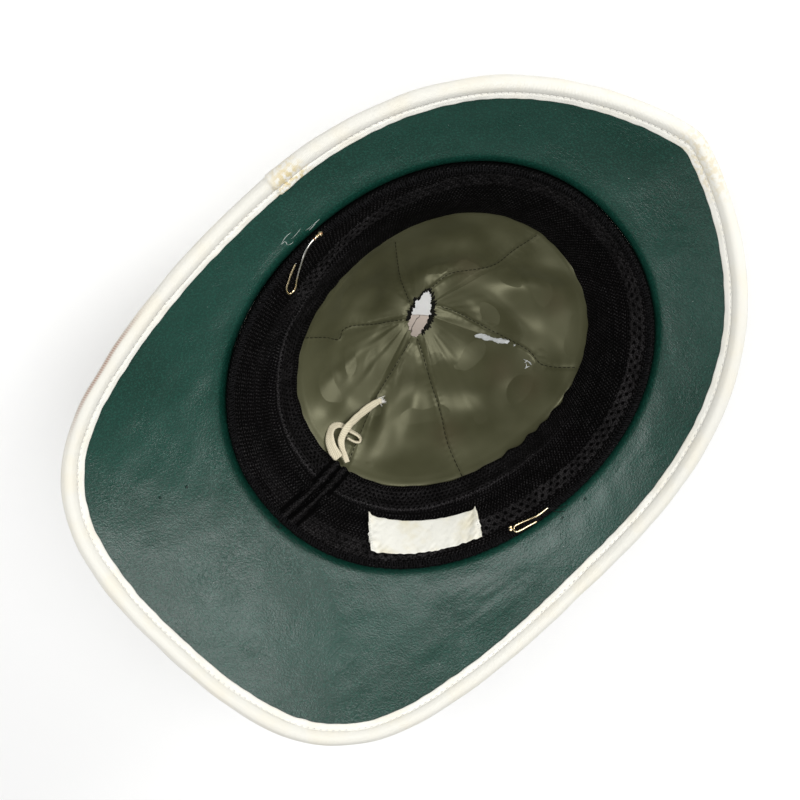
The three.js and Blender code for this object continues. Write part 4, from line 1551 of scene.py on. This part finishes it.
    def build_stitches(self, bearing: Array, total: float, pitch: float) -> None:
        """Sews the binding through its groove, on both sides of the brim."""
        form = self.form
        count = int(round(total / pitch))
        share = lengths(form.place(bearing, form.brim_point(bearing, 1.0, 0.0))[:, 0])
        share = share / (share[-1] + total / self.binding_stations)
        t = np.linspace(0.14, 0.86, 5)
        lines = []
        for side in (1, -1):
            at = ((np.arange(count)[:, None] + t) / count).ravel()
            degrees = np.interp(at, share, bearing[:, 0])[:, None]
            lift = np.tile([-0.3, 0.04, 0.12, 0.04, -0.3], count)[:, None]
            sway = np.tile([-0.12, -0.06, 0.0, 0.06, 0.12], count)[:, None]
            off = side * (2.78 + lift + self.lap(degrees, total))
            profile = form.brim_point(degrees, 1.0, off, self.groove_out + sway)
            lines.append(form.place(degrees, profile)[:, 0].reshape(count, 5, 3))
        sew("binding_stitches", np.concatenate(lines), [0.14, 0.25, 0.28, 0.25, 0.14],
            Thread("binding_thread", (0.84, 0.83, 0.78), 0.85, 0.45), Slot.BINDING)

    def build_scuffs(self, facing: Piece) -> None:
        """Scratches the facing beside the left hook, and sheds a few pale specks on it."""
        ground = Surface.of(facing)
        random = np.random.default_rng(77)
        t = np.linspace(0, 1, 9)[:, None]
        lines, radii = [], []
        for x0, y0, x1, y1, width in self.scuffs:
            start, end = np.array([x0, y0]), np.array([x1, y1])
            sway = np.array([y1 - y0, x0 - x1]) * 0.05 * random.normal()
            path = start + (end - start) * t + sway * arch(t)
            lines.append(ground.under(path))
            radii.append(width * arch(0.06 + 0.88 * t[:, 0]) * 0.75)
        for _ in range(26):
            angle, size = random.uniform(0, TURN), random.uniform(0.1, 0.22)
            middle = self.spot(math.degrees(angle), random.uniform(0.25, 0.85), 2.0)[:2]
            way = random.normal(size=2) * 0.35
            lines.append(ground.under(middle + way * (t - 0.5), 0.0))
            radii.append(size * arch(0.08 + 0.84 * t[:, 0]))
        sew("facing_scuffs", lines, radii, Thread("scuff_white", (0.50, 0.56, 0.52), 0.5, 0.9), Slot.FACING,
            flatness=0.25)

    def build(self) -> Piece:
        """Makes every piece of the brim.

        Returns:
            The facing.
        """
        facing = self.build_facing()
        self.build_binding()
        self.build_scuffs(facing)
        return facing


@dataclass
class Headband:
    """The black mesh band, its overlocked edge, its label and its loose threads."""

    form: HatForm
    stations: int = 960
    fold_crest: float = 0.6
    face_rows: int = 82
    face_width: float = 43.0
    face_reach: float = 82.0
    large: tuple[float, float, float, float] = (4.3, 4.3, 2.9, 0.95)
    small: tuple[float, float, float, float] = (6.0, 2.9, 2.3, 0.7)
    large_rows: tuple[Triple, ...] = ((-180, 0.16, 0.35), (-150, 0.30, 0.0), (-122, 0.44, 0.3),
        (-98, 0.46, 1.0), (-80, 0.38, 1.0), (-60, 0.26, 0.6), (-30, 0.14, 0.55), (0, 0.13, 0.55),
        (40, 0.16, 1.0), (90, 0.20, 1.0), (120, 0.23, 1.0), (150, 0.13, 0.8), (180, 0.16, 0.35))
    small_rows: tuple[Triple, ...] = ((-180, 0.80, 1.0), (-150, 0.79, 1.0), (-120, 0.72, 0.9),
        (-95, 0.72, 0.4), (-60, 0.80, 0.0), (60, 0.85, 0.0), (90, 0.85, 0.45), (120, 0.82, 0.8),
        (150, 0.80, 1.0), (180, 0.80, 1.0))
    crease: float = 0.17
    seam_bearing: Pair = (179.8, 175.1)
    label_side: float = 120.2
    label_rear: Pair = (154.7, 159.1)
    label_foot: float = 0.11
    label_top: Pair = (0.54, 0.47)
    label_rise: float = 1.065
    label_wall: float = 0.35

    def fold_profile(self, bearing: Array) -> Array:
        """The profile over the folded edge, from the leaf to the face."""
        form = self.form
        outer = form.band_oval.reach(bearing)
        knots = np.array([(0.0, -form.leaf_height), (0.0, -8.0), (0.0, -2.0), (-0.55, -0.1),
            (-1.6, self.fold_crest), (-2.7, 0.42)])
        curve = smooth_path(knots, 12)
        return joined(outer + curve[None, :, 0], form.band_level + curve[None, :, 1])

    def build_band(self) -> Piece:
        """Makes the band, with its soft bulges, the rear seam and the rows of holes."""
        form, bearing = self.form, stations(self.stations)
        across = np.linspace(0, 1, self.face_rows)[None, :]
        face = form.band_point(bearing, across)
        wander = 0.15 + 0.75 * bell(bearing - 72, 30.0)
        ragged = wander * Ripple(75, 13.0).at(bearing * self.face_reach * TURN / 360)[:, None]
        face[..., 0] += ragged * across**10
        back_at = np.linspace(1, 0.14, 7)[None, :]
        back = form.band_point(bearing, back_at, -form.band_wall)
        outer = form.band_oval.reach(bearing)
        leaf = joined(outer - 1.2, form.band_level - np.array([[5.0, form.leaf_height]]))
        fold = self.fold_profile(bearing)
        rings = form.place(bearing, np.concatenate([fold, face, back, leaf], 1))
        normal = outward(rings, True)
        relief = np.zeros(rings.shape[:2])
        first, last = fold.shape[1], fold.shape[1] + face.shape[1]
        rows = self.row_middles(bearing)
        apart = np.full(rings.shape[:2] + (2,), 90.0)
        apart[:, first:last] = (across[..., None] - rows[:, None, :, 0]) * self.face_width
        relief[:, first:last] = self.face_relief(bearing, across, rings[:, first:last], apart[:, first:last],
            rows)
        relief[:, 8:first] += 0.14 * Ripple(72, 3.0).at(rings[:, 8:first])
        rings = rings + normal * relief[..., None]
        band = ring_mesh("band_mesh", rings, True)
        clear = np.broadcast_to(rows[:, None, :, 1], apart.shape)
        seam = np.full(apart.shape, 90.0)
        seam[:, first:last, 0] = self.seam_offset(bearing, across)
        for name, values in (("Rows", apart), ("Clear", clear), ("Seam", seam)):
            add_map(band, name, values.reshape(-1, 2))
        return band

    def seam_offset(self, bearing: Array, across: Array) -> Array:
        """How far places on the face lie from the seam at the rear."""
        line = self.seam_bearing[0] + (self.seam_bearing[1] - self.seam_bearing[0]) * across
        reach = self.face_reach * (1.1 - 0.25 * across)
        return around(bearing - line) * reach * TURN / 360

    def row_middles(self, bearing: Array) -> Array:
        """Where across the band the rows of large and small holes lie, and how clear they are."""
        turned = around(bearing[:, 0])
        tables = (np.array(self.large_rows), np.array(self.small_rows))
        return np.stack([read_at(turned, table[:, 0], table[:, 1:]) for table in tables], 1)

    def face_relief(self, bearing: Array, across: Array, points: Array, apart: Array, rows: Array) -> Array:
        """How far the band's face stands off its plain form.

        Args:
            bearing: its stations.
            across: how far across each row of corners is.
            points: the plain form.
            apart: each corner's distance from the middle of each band of holes.
            rows: where the bands are and how clear they are.

        Returns:
            The distances.
        """
        middle = arch(across)
        soft = 0.9 * Ripple(71, 55.0).at(points) * middle + 0.22 * Ripple(74, 12.0).at(points)
        along = bearing * TURN / 360 * self.face_reach
        pits = np.zeros(points.shape[:2])
        for number, (half, pitch, step, radius) in enumerate((self.large, self.small)):
            off = apart[..., number] / step + 20
            column = (along / pitch + 0.5 * (np.floor(off) % 2)) % 1 - 0.5
            hole = np.hypot(column * pitch, (off % 1 - 0.5) * step)
            inside = 1 - blend_in(half - 0.3, half + 0.4, np.abs(apart[..., number]))
            pits += inside * rows[:, number, 1:] * (0.9 * (1 - blend_in(0.5, 1.15, hole / radius)) - 0.3)
        off = self.seam_offset(bearing, across)
        seam = 1.7 * (bell(off - 2.1, 1.3) + bell(off + 2.1, 1.3)) - 2.0 * bell(off, 0.7)
        seam -= 1.1 * (bell(off - 4.6, 1.0) + bell(off + 4.6, 1.0))
        seam = seam * blend_in(0.0, 0.08, across) * (1 - 0.6 * blend_in(0.75, 1.0, across))
        fold = across - rows[:, 1, :1] + self.crease
        crease = rows[:, 1, 1:] * (1.8 * bell(fold - 0.05, 0.07) - 1.5 * bell(fold + 0.10, 0.09))
        return soft + seam + crease - pits

    def build_overlock(self) -> None:
        """Makes the whipped thread along the folded edge."""
        form = self.form
        count = int(TURN * 97 / 1.15)
        random = np.random.default_rng(81)
        bearing = stations(count) + random.normal(size=(count, 1)) * 0.07
        curve = np.array([(-0.9, -1.4), (-0.75, -0.5), (-1.1, 0.35), (-1.9, 0.8), (-2.9, 0.7)])
        outer = form.band_oval.reach(bearing)
        edge = joined(outer + curve[None, :, 0], form.band_level + curve[None, :, 1])
        face = form.band_point(bearing, np.array([[0.01, 0.03]]), 0.15)
        profile = np.concatenate([edge, face], 1)
        slant = np.linspace(-0.35, 0.35, profile.shape[1])[None] + 0.1 * random.normal(
            size=(count, profile.shape[1]))
        lines = form.place(bearing + slant, profile)
        radii = np.array([0.18, 0.28, 0.32, 0.32, 0.32, 0.3, 0.18]) * random.uniform(0.85, 1.15, (count, 1))
        up = np.stack([np.sin(np.radians(bearing)), np.cos(np.radians(bearing)), np.full_like(bearing, 1.2)],
            -1)
        sew("band_overlock", lines, radii, Thread("black_yarn", (0.012, 0.0115, 0.0125), 0.1, 0.7),
            Slot.MESH, up)

    def build_label(self) -> None:
        """Makes the bare label, its creases and the stitches at its ends."""
        form = self.form
        s, w = np.linspace(0, 1, 120), np.linspace(0, 1, 44)
        side, up = np.meshgrid(s, w, indexing="ij")
        rear = self.label_rear[0] + (self.label_rear[1] - self.label_rear[0]) * up
        edge = 0.25 * Ripple(91, 0.09).at(side[..., None]) * (up > 0.98)
        edge = edge - 0.3 * Ripple(92, 0.07).at(side[..., None]) * (up < 0.02)
        spike = 0.035 * bell(side - 1.0, 0.02) + 0.03 * bell(side - 0.0, 0.02)
        bearing = rear + (self.label_side - rear) * side
        bearing = bearing + 0.28 * Ripple(93, 0.2).at(up[..., None]) * ((side < 0.01) | (side > 0.99))
        top = self.label_top[0] + (self.label_top[1] - self.label_top[0]) * side
        across = self.label_foot + (top - self.label_foot) * up
        across = across + edge * 0.012 + spike * up**6
        flat = np.stack([side * 52.0, up * 15.5], -1)
        pinch = bell(side, 0.10) + bell(side - 1, 0.10) + 0.55 * bell(up, 0.2) + 0.2
        crease = Ripple(94, 6.5).at(flat @ np.array([[1.0, 0.25], [-0.25, 0.6]])) * 0.32 * pinch
        crease = crease + 0.12 * Ripple(95, 2.4).at(flat) * pinch
        rise = self.label_rise + crease
        top, bottom = (form.place(bearing, form.band_point(bearing, across, rise - deep))
            for deep in (0.0, self.label_wall))
        label = ring_mesh("label_tape", np.concatenate([top, bottom[:, ::-1]], 1), False)
        enter(label, LabelTape().material(), Slot.LABEL, "label")
        lines = []
        for end in (2, -3):
            for k in range(2, 41, 3):
                pair = top[end, k:k + 3]
                lines.append(np.stack([pair[0] - (0, 0, 0.1), pair[1] + (0, 0, 0.16),
                    pair[2] - (0, 0, 0.1)]))
        sew("label_stitches", lines, [0.1, 0.17, 0.1], Thread("label_thread", (0.74, 0.73, 0.68), 0.8, 0.4),
            Slot.LABEL)

    def build_threads(self) -> None:
        """Leaves a few loose ends of black thread at the edge, as the photograph shows."""
        spots = ((83.6, -1.6, 133.3, 4.5, 7.0, 1.2), (84.2, -2.2, 133.2, 5.5, 4.5, 0.6),
            (0.2, -100.6, 131.6, -2.0, 3.0, 2.2), (-2.0, -100.4, 131.8, 3.5, 1.2, 1.6))
        t = np.linspace(0, 1, 12)[:, None]
        lines = []
        for x, y, z, dx, dy, dz in spots:
            bend = np.array([dy, -dx, 0.0]) * 0.3
            lines.append(np.array([x, y, z]) + np.array([dx, dy, 0]) * t
                + np.array([0, 0, dz]) * arch(t * 0.9) + bend * t * (1 - t))
        sew("band_threads", lines, np.full(12, 0.14), Thread("loose_black", (0.02, 0.02, 0.02), 0.3, 0.6),
            Slot.MESH)

    def build(self) -> None:
        """Makes every piece of the headband."""
        band = self.build_band()
        enter(band, KnitMesh(self.large, self.small).material(), Slot.MESH, "headband")
        self.build_overlock()
        self.build_label()
        self.build_threads()


@dataclass(frozen=True)
class Fold:
    """A ridge of the lining, or a valley where its height is negative.

    Its points are x and y in millimetres.
    """

    height: float
    width: float
    points: tuple[Pair, ...]

    def nearest(self, spots: Array, count: int = 28) -> tuple[Array, Array, float]:
        """How far places lie from the line.

        Args:
            spots: x and y of each place.
            count: the number of points that stand for the line.

        Returns:
            The distance, how far along the line its nearest point is, and the line's length.
        """
        line = smooth_path(self.points, count)
        a, step = line[:-1], np.diff(line, axis=0)
        size = np.linalg.norm(step, axis=1)
        offset = spots[:, None] - a[None]
        t = np.clip((offset * step[None]).sum(-1) / size**2, 0, 1)
        apart = np.linalg.norm(offset - t[..., None] * step[None], axis=-1)
        best = apart.argmin(1)
        rows = np.arange(len(spots))
        start = np.append(0, np.cumsum(size))
        return apart[rows, best], start[best] + t[rows, best] * size[best], float(start[-1])

    def relief(self, spots: Array) -> Array:
        """How far the fold lifts the cloth at places."""
        lifted = np.zeros(len(spots))
        low, high = (edge(np.array(self.points), 0) for edge in (np.min, np.max))
        margin = 6.5 * self.width
        near = ((spots > low - margin) & (spots < high + margin)).all(1)
        apart, at, length = self.nearest(spots[near])
        ends = blend_in(-0.02, 0.5, at / length) * (1 - blend_in(0.5, 1.02, at / length))
        lifted[near] = self.height * bell(apart, 1.75 * self.width) * ends
        return lifted


@dataclass
class Lining:
    """The satin lining of six panels, with its puckered seams and its ragged hole."""

    form: HatForm
    stations: int = 780
    rows: int = 84
    wall: float = 0.7
    hem_width: float = 3.8
    fold_gain: float = 2.3
    soft_passes: int = 22
    seams: tuple[tuple[Pair, ...], ...] = (((-54, 31), (-43, 22), (-35, 16), (-27, 12), (-20, 9)),
        ((-8, 83), (-9, 67), (-9, 54), (-15, 42), (-19, 34), (-20, 22)),
        ((53, 51), (42, 38), (35, 38), (28, 36), (17, 31), (7, 27), (-1, 24), (-11, 19)),
        ((54, -28), (38, -23), (26, -16), (13, -10), (5, -6), (-7, 0)),
        ((9, -64), (5, -53), (1, -41), (-2, -32), (-5, -16), (-8, -2)),
        ((-54, -35), (-42, -28), (-36, -26), (-38, -21), (-36, -17), (-28, -10), (-17, 2)))
    folds: tuple[Fold, ...] = (Fold(1.7, 3.0, ((-51, 26), (-51, 14), (-49, 2), (-43, -10))),
        Fold(-3.2, 2.6, ((-57, 16), (-53, 3), (-48, -7), (-42, -16), (-38, -24))),
        Fold(1.9, 3.4, ((-58, 8), (-54, -4), (-50, -17), (-46, -27))),
        Fold(1.5, 2.4, ((-37, 10), (-40, 5), (-37, -2), (-32, -9))),
        Fold(-1.3, 2.2, ((-43, 10), (-44, 2), (-40, -7))),
        Fold(2.6, 4.2, ((-36, 21), (-32, 31), (-27, 41), (-19, 52), (-10, 59))),
        Fold(-2.6, 3.0, ((-34, 19), (-28, 28), (-23, 37), (-17, 45), (-8, 52))),
        Fold(0.9, 1.8, ((-26, 20), (-24, 25), (-20, 31))),
        Fold(3.0, 3.8, ((-7, 58), (1, 65), (10, 73), (19, 79), (28, 82))),
        Fold(-3.2, 4.2, ((-9, 49), (-1, 54), (9, 60), (20, 67), (30, 74))),
        Fold(3.2, 4.4, ((-18, 32), (-10, 37), (1, 40), (10, 42), (21, 45), (30, 46), (40, 41))),
        Fold(1.5, 2.2, ((-12, 26), (-5, 30), (2, 30), (7, 27))),
        Fold(-1.6, 2.4, ((-11, 32), (-1, 35), (8, 36), (14, 33))),
        Fold(-1.6, 2.4, ((40, 61), (45, 53), (50, 49))), Fold(1.0, 2.4, ((36, 56), (42, 49), (46, 45))),
        Fold(1.3, 3.4, ((32, 11), (41, 8), (50, 10), (57, 16), (60, 24))),
        Fold(1.6, 3.0, ((54, 15), (50, 25), (45, 34))), Fold(-1.0, 3.0, ((50, 14), (45, 22), (40, 30))),
        Fold(1.0, 3.0, ((57, 21), (57, 32), (54, 42))), Fold(-0.5, 0.9, ((5, -6), (9, 0), (12, 5))),
        Fold(1.1, 3.4, ((0, 22), (11, 14), (21, 5), (33, -5))),
        Fold(-1.1, 3.2, ((8, 24), (18, 15), (28, 3))), Fold(2.0, 2.8,
        ((-4, -5), (2, -17), (8, -35), (12, -49), (14, -62))),
        Fold(1.5, 2.6, ((10, -9), (9, -17), (14, -28), (19, -40), (22, -54))),
        Fold(-1.5, 2.2, ((10, -16), (14, -24), (18, -32), (23, -42))),
        Fold(-2.6, 1.8, ((1, -28), (3, -38), (7, -48), (12, -58))),
        Fold(1.6, 2.8, ((-36, -19), (-31, -29), (-24, -38), (-17, -42), (-10, -41))),
        Fold(1.4, 2.6, ((-22, -18), (-18, -27), (-14, -36))),
        Fold(-1.5, 2.4, ((-28, -22), (-22, -32), (-15, -37))),
        Fold(1.3, 3.2, ((-37, -29), (-34, -41), (-29, -53))),
        Fold(-1.3, 2.6, ((-31, -34), (-27, -44), (-21, -53))),
        Fold(1.2, 2.6, ((-22, -46), (-16, -52), (-10, -56))), Fold(1.1, 1.8, ((-9, 73), (-3, 76), (4, 79))),
        Fold(-1.0, 1.8, ((-6, 63), (-6, 69), (-5, 76))), Fold(0.9, 1.3, ((-20, -4), (-22, -11), (-21, -18))),
        Fold(0.8, 1.2, ((-15, -5), (-16, -12), (-14, -19))))
    brown_marks: tuple[Triple, ...] = ((32.0, 20.0, 70.0), (26.0, 66.0, 78.0), (-16.0, 44.0, 62.0),
        (34.0, -20.0, 80.0), (44.0, 26.0, 84.0))
    tear: tuple[Pair, ...] = ((11.5, 22.0), (12.5, 25.0), (15.0, 27.0), (18.0, 28.5), (21.0, 31.5),
        (24.0, 33.8), (24.4, 32.4), (21.5, 28.6), (18.6, 26.8), (17.2, 24.4), (14.6, 23.6), (12.8, 21.6))
    specks: tuple[Triple, ...] = ((36.6, 33.3, 1.5), (38.0, 31.6, 0.9), (27.0, 34.2, 0.7))

    def cloth(self) -> Array:
        """Corners of the lining's face, its hole's edge and its back."""
        form, bearing = self.form, stations(self.stations)
        ragged = 0.55 * Ripple(101, 0.09).at(bearing / 360) + 0.3 * Ripple(102, 0.03).at(bearing / 360)
        hem = form.place(bearing, form.band_point(bearing, 0.8, -form.band_wall - form.gap))
        inwards = np.linspace(0, 1, self.rows)[None, :] * np.ones_like(bearing)
        face = form.lining_point(bearing * np.ones_like(inwards), inwards, ragged[:, None])
        face[..., 2] += self.relief(face, inwards)
        front = np.concatenate([hem, face], 1)
        back = front[:, [-1, -2, -6, -14, -26, -40, -55, -70, -81, 0]].copy()
        back[..., 2] -= self.wall
        return np.concatenate([front, back], 1)

    def softened(self, lifted: Array) -> Array:
        """Heights averaged again and again with their neighbours on the cloth."""
        for _ in range(self.soft_passes):
            lifted = (lifted + np.roll(lifted, 1, 0) + np.roll(lifted, -1, 0)) / 3
            lifted[:, 1:-1] = (lifted[:, :-2] + lifted[:, 1:-1] + lifted[:, 2:]) / 3
        return lifted

    def relief(self, face: Array, inwards: Array) -> Array:
        """How far the cloth stands off its plain form."""
        spots = face[..., :2].reshape(-1, 2)
        lifted = self.fold_gain * sum(fold.relief(spots) for fold in self.folds)
        lifted = self.softened(lifted.reshape(inwards.shape)).ravel()
        depth = np.linalg.norm(face[:, :1, :2] - face[..., :2], axis=-1).ravel()
        for number, seam in enumerate(self.seams):
            apart, at, _ = Fold(0.0, 1.0, seam).nearest(spots, 48)
            beat = np.cos(TURN * at / 3.4 + 2.5 * np.sin(at / 4.0 + number))
            lifted = lifted - 0.85 * bell(apart, 0.9) + 0.09 * beat * bell(apart - 1.6, 1.6)
        lifted = lifted.reshape(inwards.shape)
        depth = depth.reshape(inwards.shape)
        lifted += 1.5 * Ripple(103, 29.0).at(face) + 0.05 * Ripple(104, 10.0).at(face)
        hem = 0.5 * blend_in(0.2, 1.4, depth) * (1 - blend_in(3.0, self.hem_width, depth))
        hem = hem - 0.55 * bell(depth - self.hem_width, 0.5)
        spread = 0.35 + 0.65 * bell((np.degrees(np.arctan2(face[..., 0], face[..., 1] - self.form.axis_y))
            + 75), 45.0)
        calm = blend_in(0.0, 2.5, depth) * (0.35 + 0.65 * (1 - blend_in(0.93, 1.0, inwards)))
        rim = 0.35 * bell((1 - inwards) * 26, 1.2)
        return lifted * calm + hem * spread + rim

    def build(self) -> None:
        """Makes the cloth, its seams, the hole's whipping, the tear and the specks."""
        rings = self.cloth()
        satin = ring_mesh("lining_satin", rings, True)
        enter(satin, Satin(self.brown_marks).material(), Slot.SATIN, "lining")
        ground = Surface.of(satin)
        self.build_seam_thread(ground)
        self.build_whipping(rings)
        self.build_tear(ground)

    def build_seam_thread(self, ground: Surface) -> None:
        """Lays dark stitches into each seam."""
        lines = []
        for seam in self.seams:
            line = smooth_path(seam, 260)
            length = lengths(line)
            for at in np.arange(1.5, length[-1] - 2.5, 2.1):
                points = ground.under(read_at(at + np.linspace(0, 1.75, 5), length, line))
                points[:, 2] += np.array([-0.12, 0.1, 0.16, 0.1, -0.12])
                lines.append(points)
        sew("lining_stitches", lines, [0.1, 0.17, 0.19, 0.17, 0.1],
            Thread("dark_olive_thread", (0.016, 0.015, 0.009), 0.6, 0.5), Slot.SATIN)

    def build_whipping(self, rings: Array) -> None:
        """Whips the hole's edge with dark thread, more where it has held."""
        random = np.random.default_rng(111)
        lines = []
        step = 3.2
        for bearing in np.arange(0, 360, step):
            held = 0.5 + 0.5 * math.cos(math.radians(bearing - 20)) > 0.3 or 200 < bearing < 300
            if not held:
                continue
            index = int((bearing + random.normal() * 0.8) / 360 * self.stations) % self.stations
            column = rings[index, 1:self.rows + 1]
            edge, inner = column[-1], column[-1 - random.integers(2, 4)]
            out = (edge - inner) / np.linalg.norm(edge - inner)
            lines.append(np.stack([inner - (0, 0, 0.2), inner * 0.6 + edge * 0.4 + (0, 0, 0.5),
                edge + out * 0.1 + (0, 0, 0.25), edge + out * 0.1 - (0, 0, 0.6)])
                + random.normal(size=(4, 3)) * 0.05)
        sew("lining_whipping", lines, [0.2, 0.4, 0.4, 0.2],
            Thread("hole_whipping", (0.014, 0.014, 0.011), 0.4, 0.5), Slot.SATIN, np.array([0.1, 0.2, 1.0]))

    def build_tear(self, ground: Surface) -> None:
        """Shows the white cloth through the worn seam, and the white specks beside it."""
        outline = smooth_path(list(self.tear) + [self.tear[0]], 97)[:-1]
        middle = outline.mean(0)
        outline = outline + 0.22 * np.stack([Ripple(seed, 1.6).at(outline) for seed in (121, 122)], -1)
        rings = []
        for share, lift in ((0.1, 0.32), (0.4, 0.34), (0.75, 0.3), (0.95, 0.22), (1.0, 0.05), (0.97, -0.25),
                (0.6, -0.25), (0.2, -0.25)):
            ring = ground.under(middle + (outline - middle) * share, 0.0)
            ring[:, 2] += lift + 0.12 * Ripple(123, 2.4).at(ring)
            rings.append(ring)
        pale = Thread("torn_white", (0.66, 0.68, 0.67), 0.7, 0.7).material()
        enter(ring_mesh("lining_tear", np.array(rings), False), pale, Slot.SATIN)
        random = np.random.default_rng(131)
        lines = []
        for x, y, size in self.specks:
            for _ in range(4):
                way = random.normal(size=2) * size
                spots = np.array([x, y]) + random.normal(size=2) * 0.35 * size + np.linspace(-0.6, 0.6, 6)[:,
                    None] * way
                points = ground.under(spots, 0.0)
                points[:, 2] += 0.12
                lines.append(points)
        enter(tube_bundle("lining_specks", np.array(lines), np.array([.05, .16, .2, .2, .16, .05]), UP, 6,
            0.5), pale, Slot.SATIN)


@dataclass
class WireHook:
    """A wire hook over the headband's folded edge, as bearing, reach and level."""

    form: HatForm
    side: Side
    wire: float = 1.0
    plated: float = 27.0
    left: tuple[Triple, ...] = ((-84.6, 85.6, 133.7), (-85.5, 85.5, 133.7), (-86.8, 85.5, 133.7),
        (-88.2, 85.6, 133.7), (-89.4, 85.4, 133.7), (-91.7, 84.7, 133.5), (-94.8, 83.1, 132.3),
        (-98.5, 81.1, 129.1), (-102.6, 79.0, 126.1), (-106.3, 77.4, 123.4), (-108.2, 78.6, 124.4),
        (-107.1, 80.8, 127.2), (-103.5, 82.2, 129.5), (-100.3, 83.3, 131.4), (-97.4, 84.2, 133.2))
    right: tuple[Triple, ...] = ((96.3, 83.5, 133.2), (98.7, 83.7, 133.2), (100.7, 83.8, 133.2),
        (103.8, 83.5, 132.4), (107.0, 83.3, 131.7), (108.9, 83.5, 131.7), (109.6, 84.3, 132.4),
        (109.4, 85.6, 133.4), (108.0, 86.0, 133.6), (105.2, 85.8, 133.7), (101.8, 85.9, 133.8))
    left_lumps: tuple[tuple[float, float, float, float], ...] = ((-85.2, 85.6, 134.0, 1.25),
        (-86.5, 85.7, 133.9, 0.8), (-87.6, 85.6, 133.8, 0.7))
    right_lumps: tuple[tuple[float, float, float, float], ...] = ((110.3, 83.2, 131.4, 0.85),
        (110.6, 84.2, 132.2, 0.85))

    def route(self) -> Array:
        """The points that the wire passes through."""
        rows = np.array(self.left if self.side is Side.LEFT else self.right)
        return self.form.place(rows[:, 0], rows[:, 1:])

    def build(self) -> None:
        """Makes the wire and the lumps of metal on it."""
        name = f"wire_{self.side.name.lower()}"
        steps = 150
        line = smooth_path(self.route(), steps)[None]
        t = np.linspace(0, 1, steps)
        radii = self.wire / 2 * (1 - 0.55 * blend_in(0.985, 1.0, t)) * (0.5 + 0.5 * blend_in(0, 0.01, t))
        plated = self.plated if self.side is Side.LEFT else 0.0
        wire = tube_bundle(name, line, radii, np.array([0.3, 0.2, 1.0]), 14)
        enter(wire, BrassWire(name, plated, 0.3).material(), Slot.BRASS, f"hook_{self.side.name.lower()}")
        lumps = self.left_lumps if self.side is Side.LEFT else self.right_lumps
        angle = np.linspace(0.15, math.pi - 0.15, 11)
        turn = np.arange(18) * TURN / 18
        for number, (*spot, size) in enumerate(lumps):
            ball = joined(np.sin(angle)[:, None] * np.cos(turn), np.sin(angle)[:, None] * np.sin(turn),
                np.cos(angle)[:, None] * 0.85) * size
            ball = ball * (1 + 0.12 * Ripple(140 + number, 1.1).at(ball))[..., None]
            place = self.form.place(np.array([spot[0]]), np.array([spot[1:]]))[0]
            lump = ring_mesh(f"{name}_lump_{number + 1}", ball + place, False)
            enter(lump, BrassWire(f"{lump.name}_metal", -9.0, 0.5).material(), Slot.BRASS)


def main() -> None:
    """Builds the camera and the cords first, and then the hat from the outside in."""
    logging.basicConfig(level=logging.INFO, format="%(message)s")
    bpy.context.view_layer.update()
    form = HatForm()
    studio = Studio()
    studio.build_camera()
    Drawstring().build()
    Crown(form).build()
    Brim(form).build()
    Headband(form).build()
    Lining(form).build()
    for side in Side:
        WireHook(form, side).build()
    studio.build()


if __name__ == "__main__":
    main()
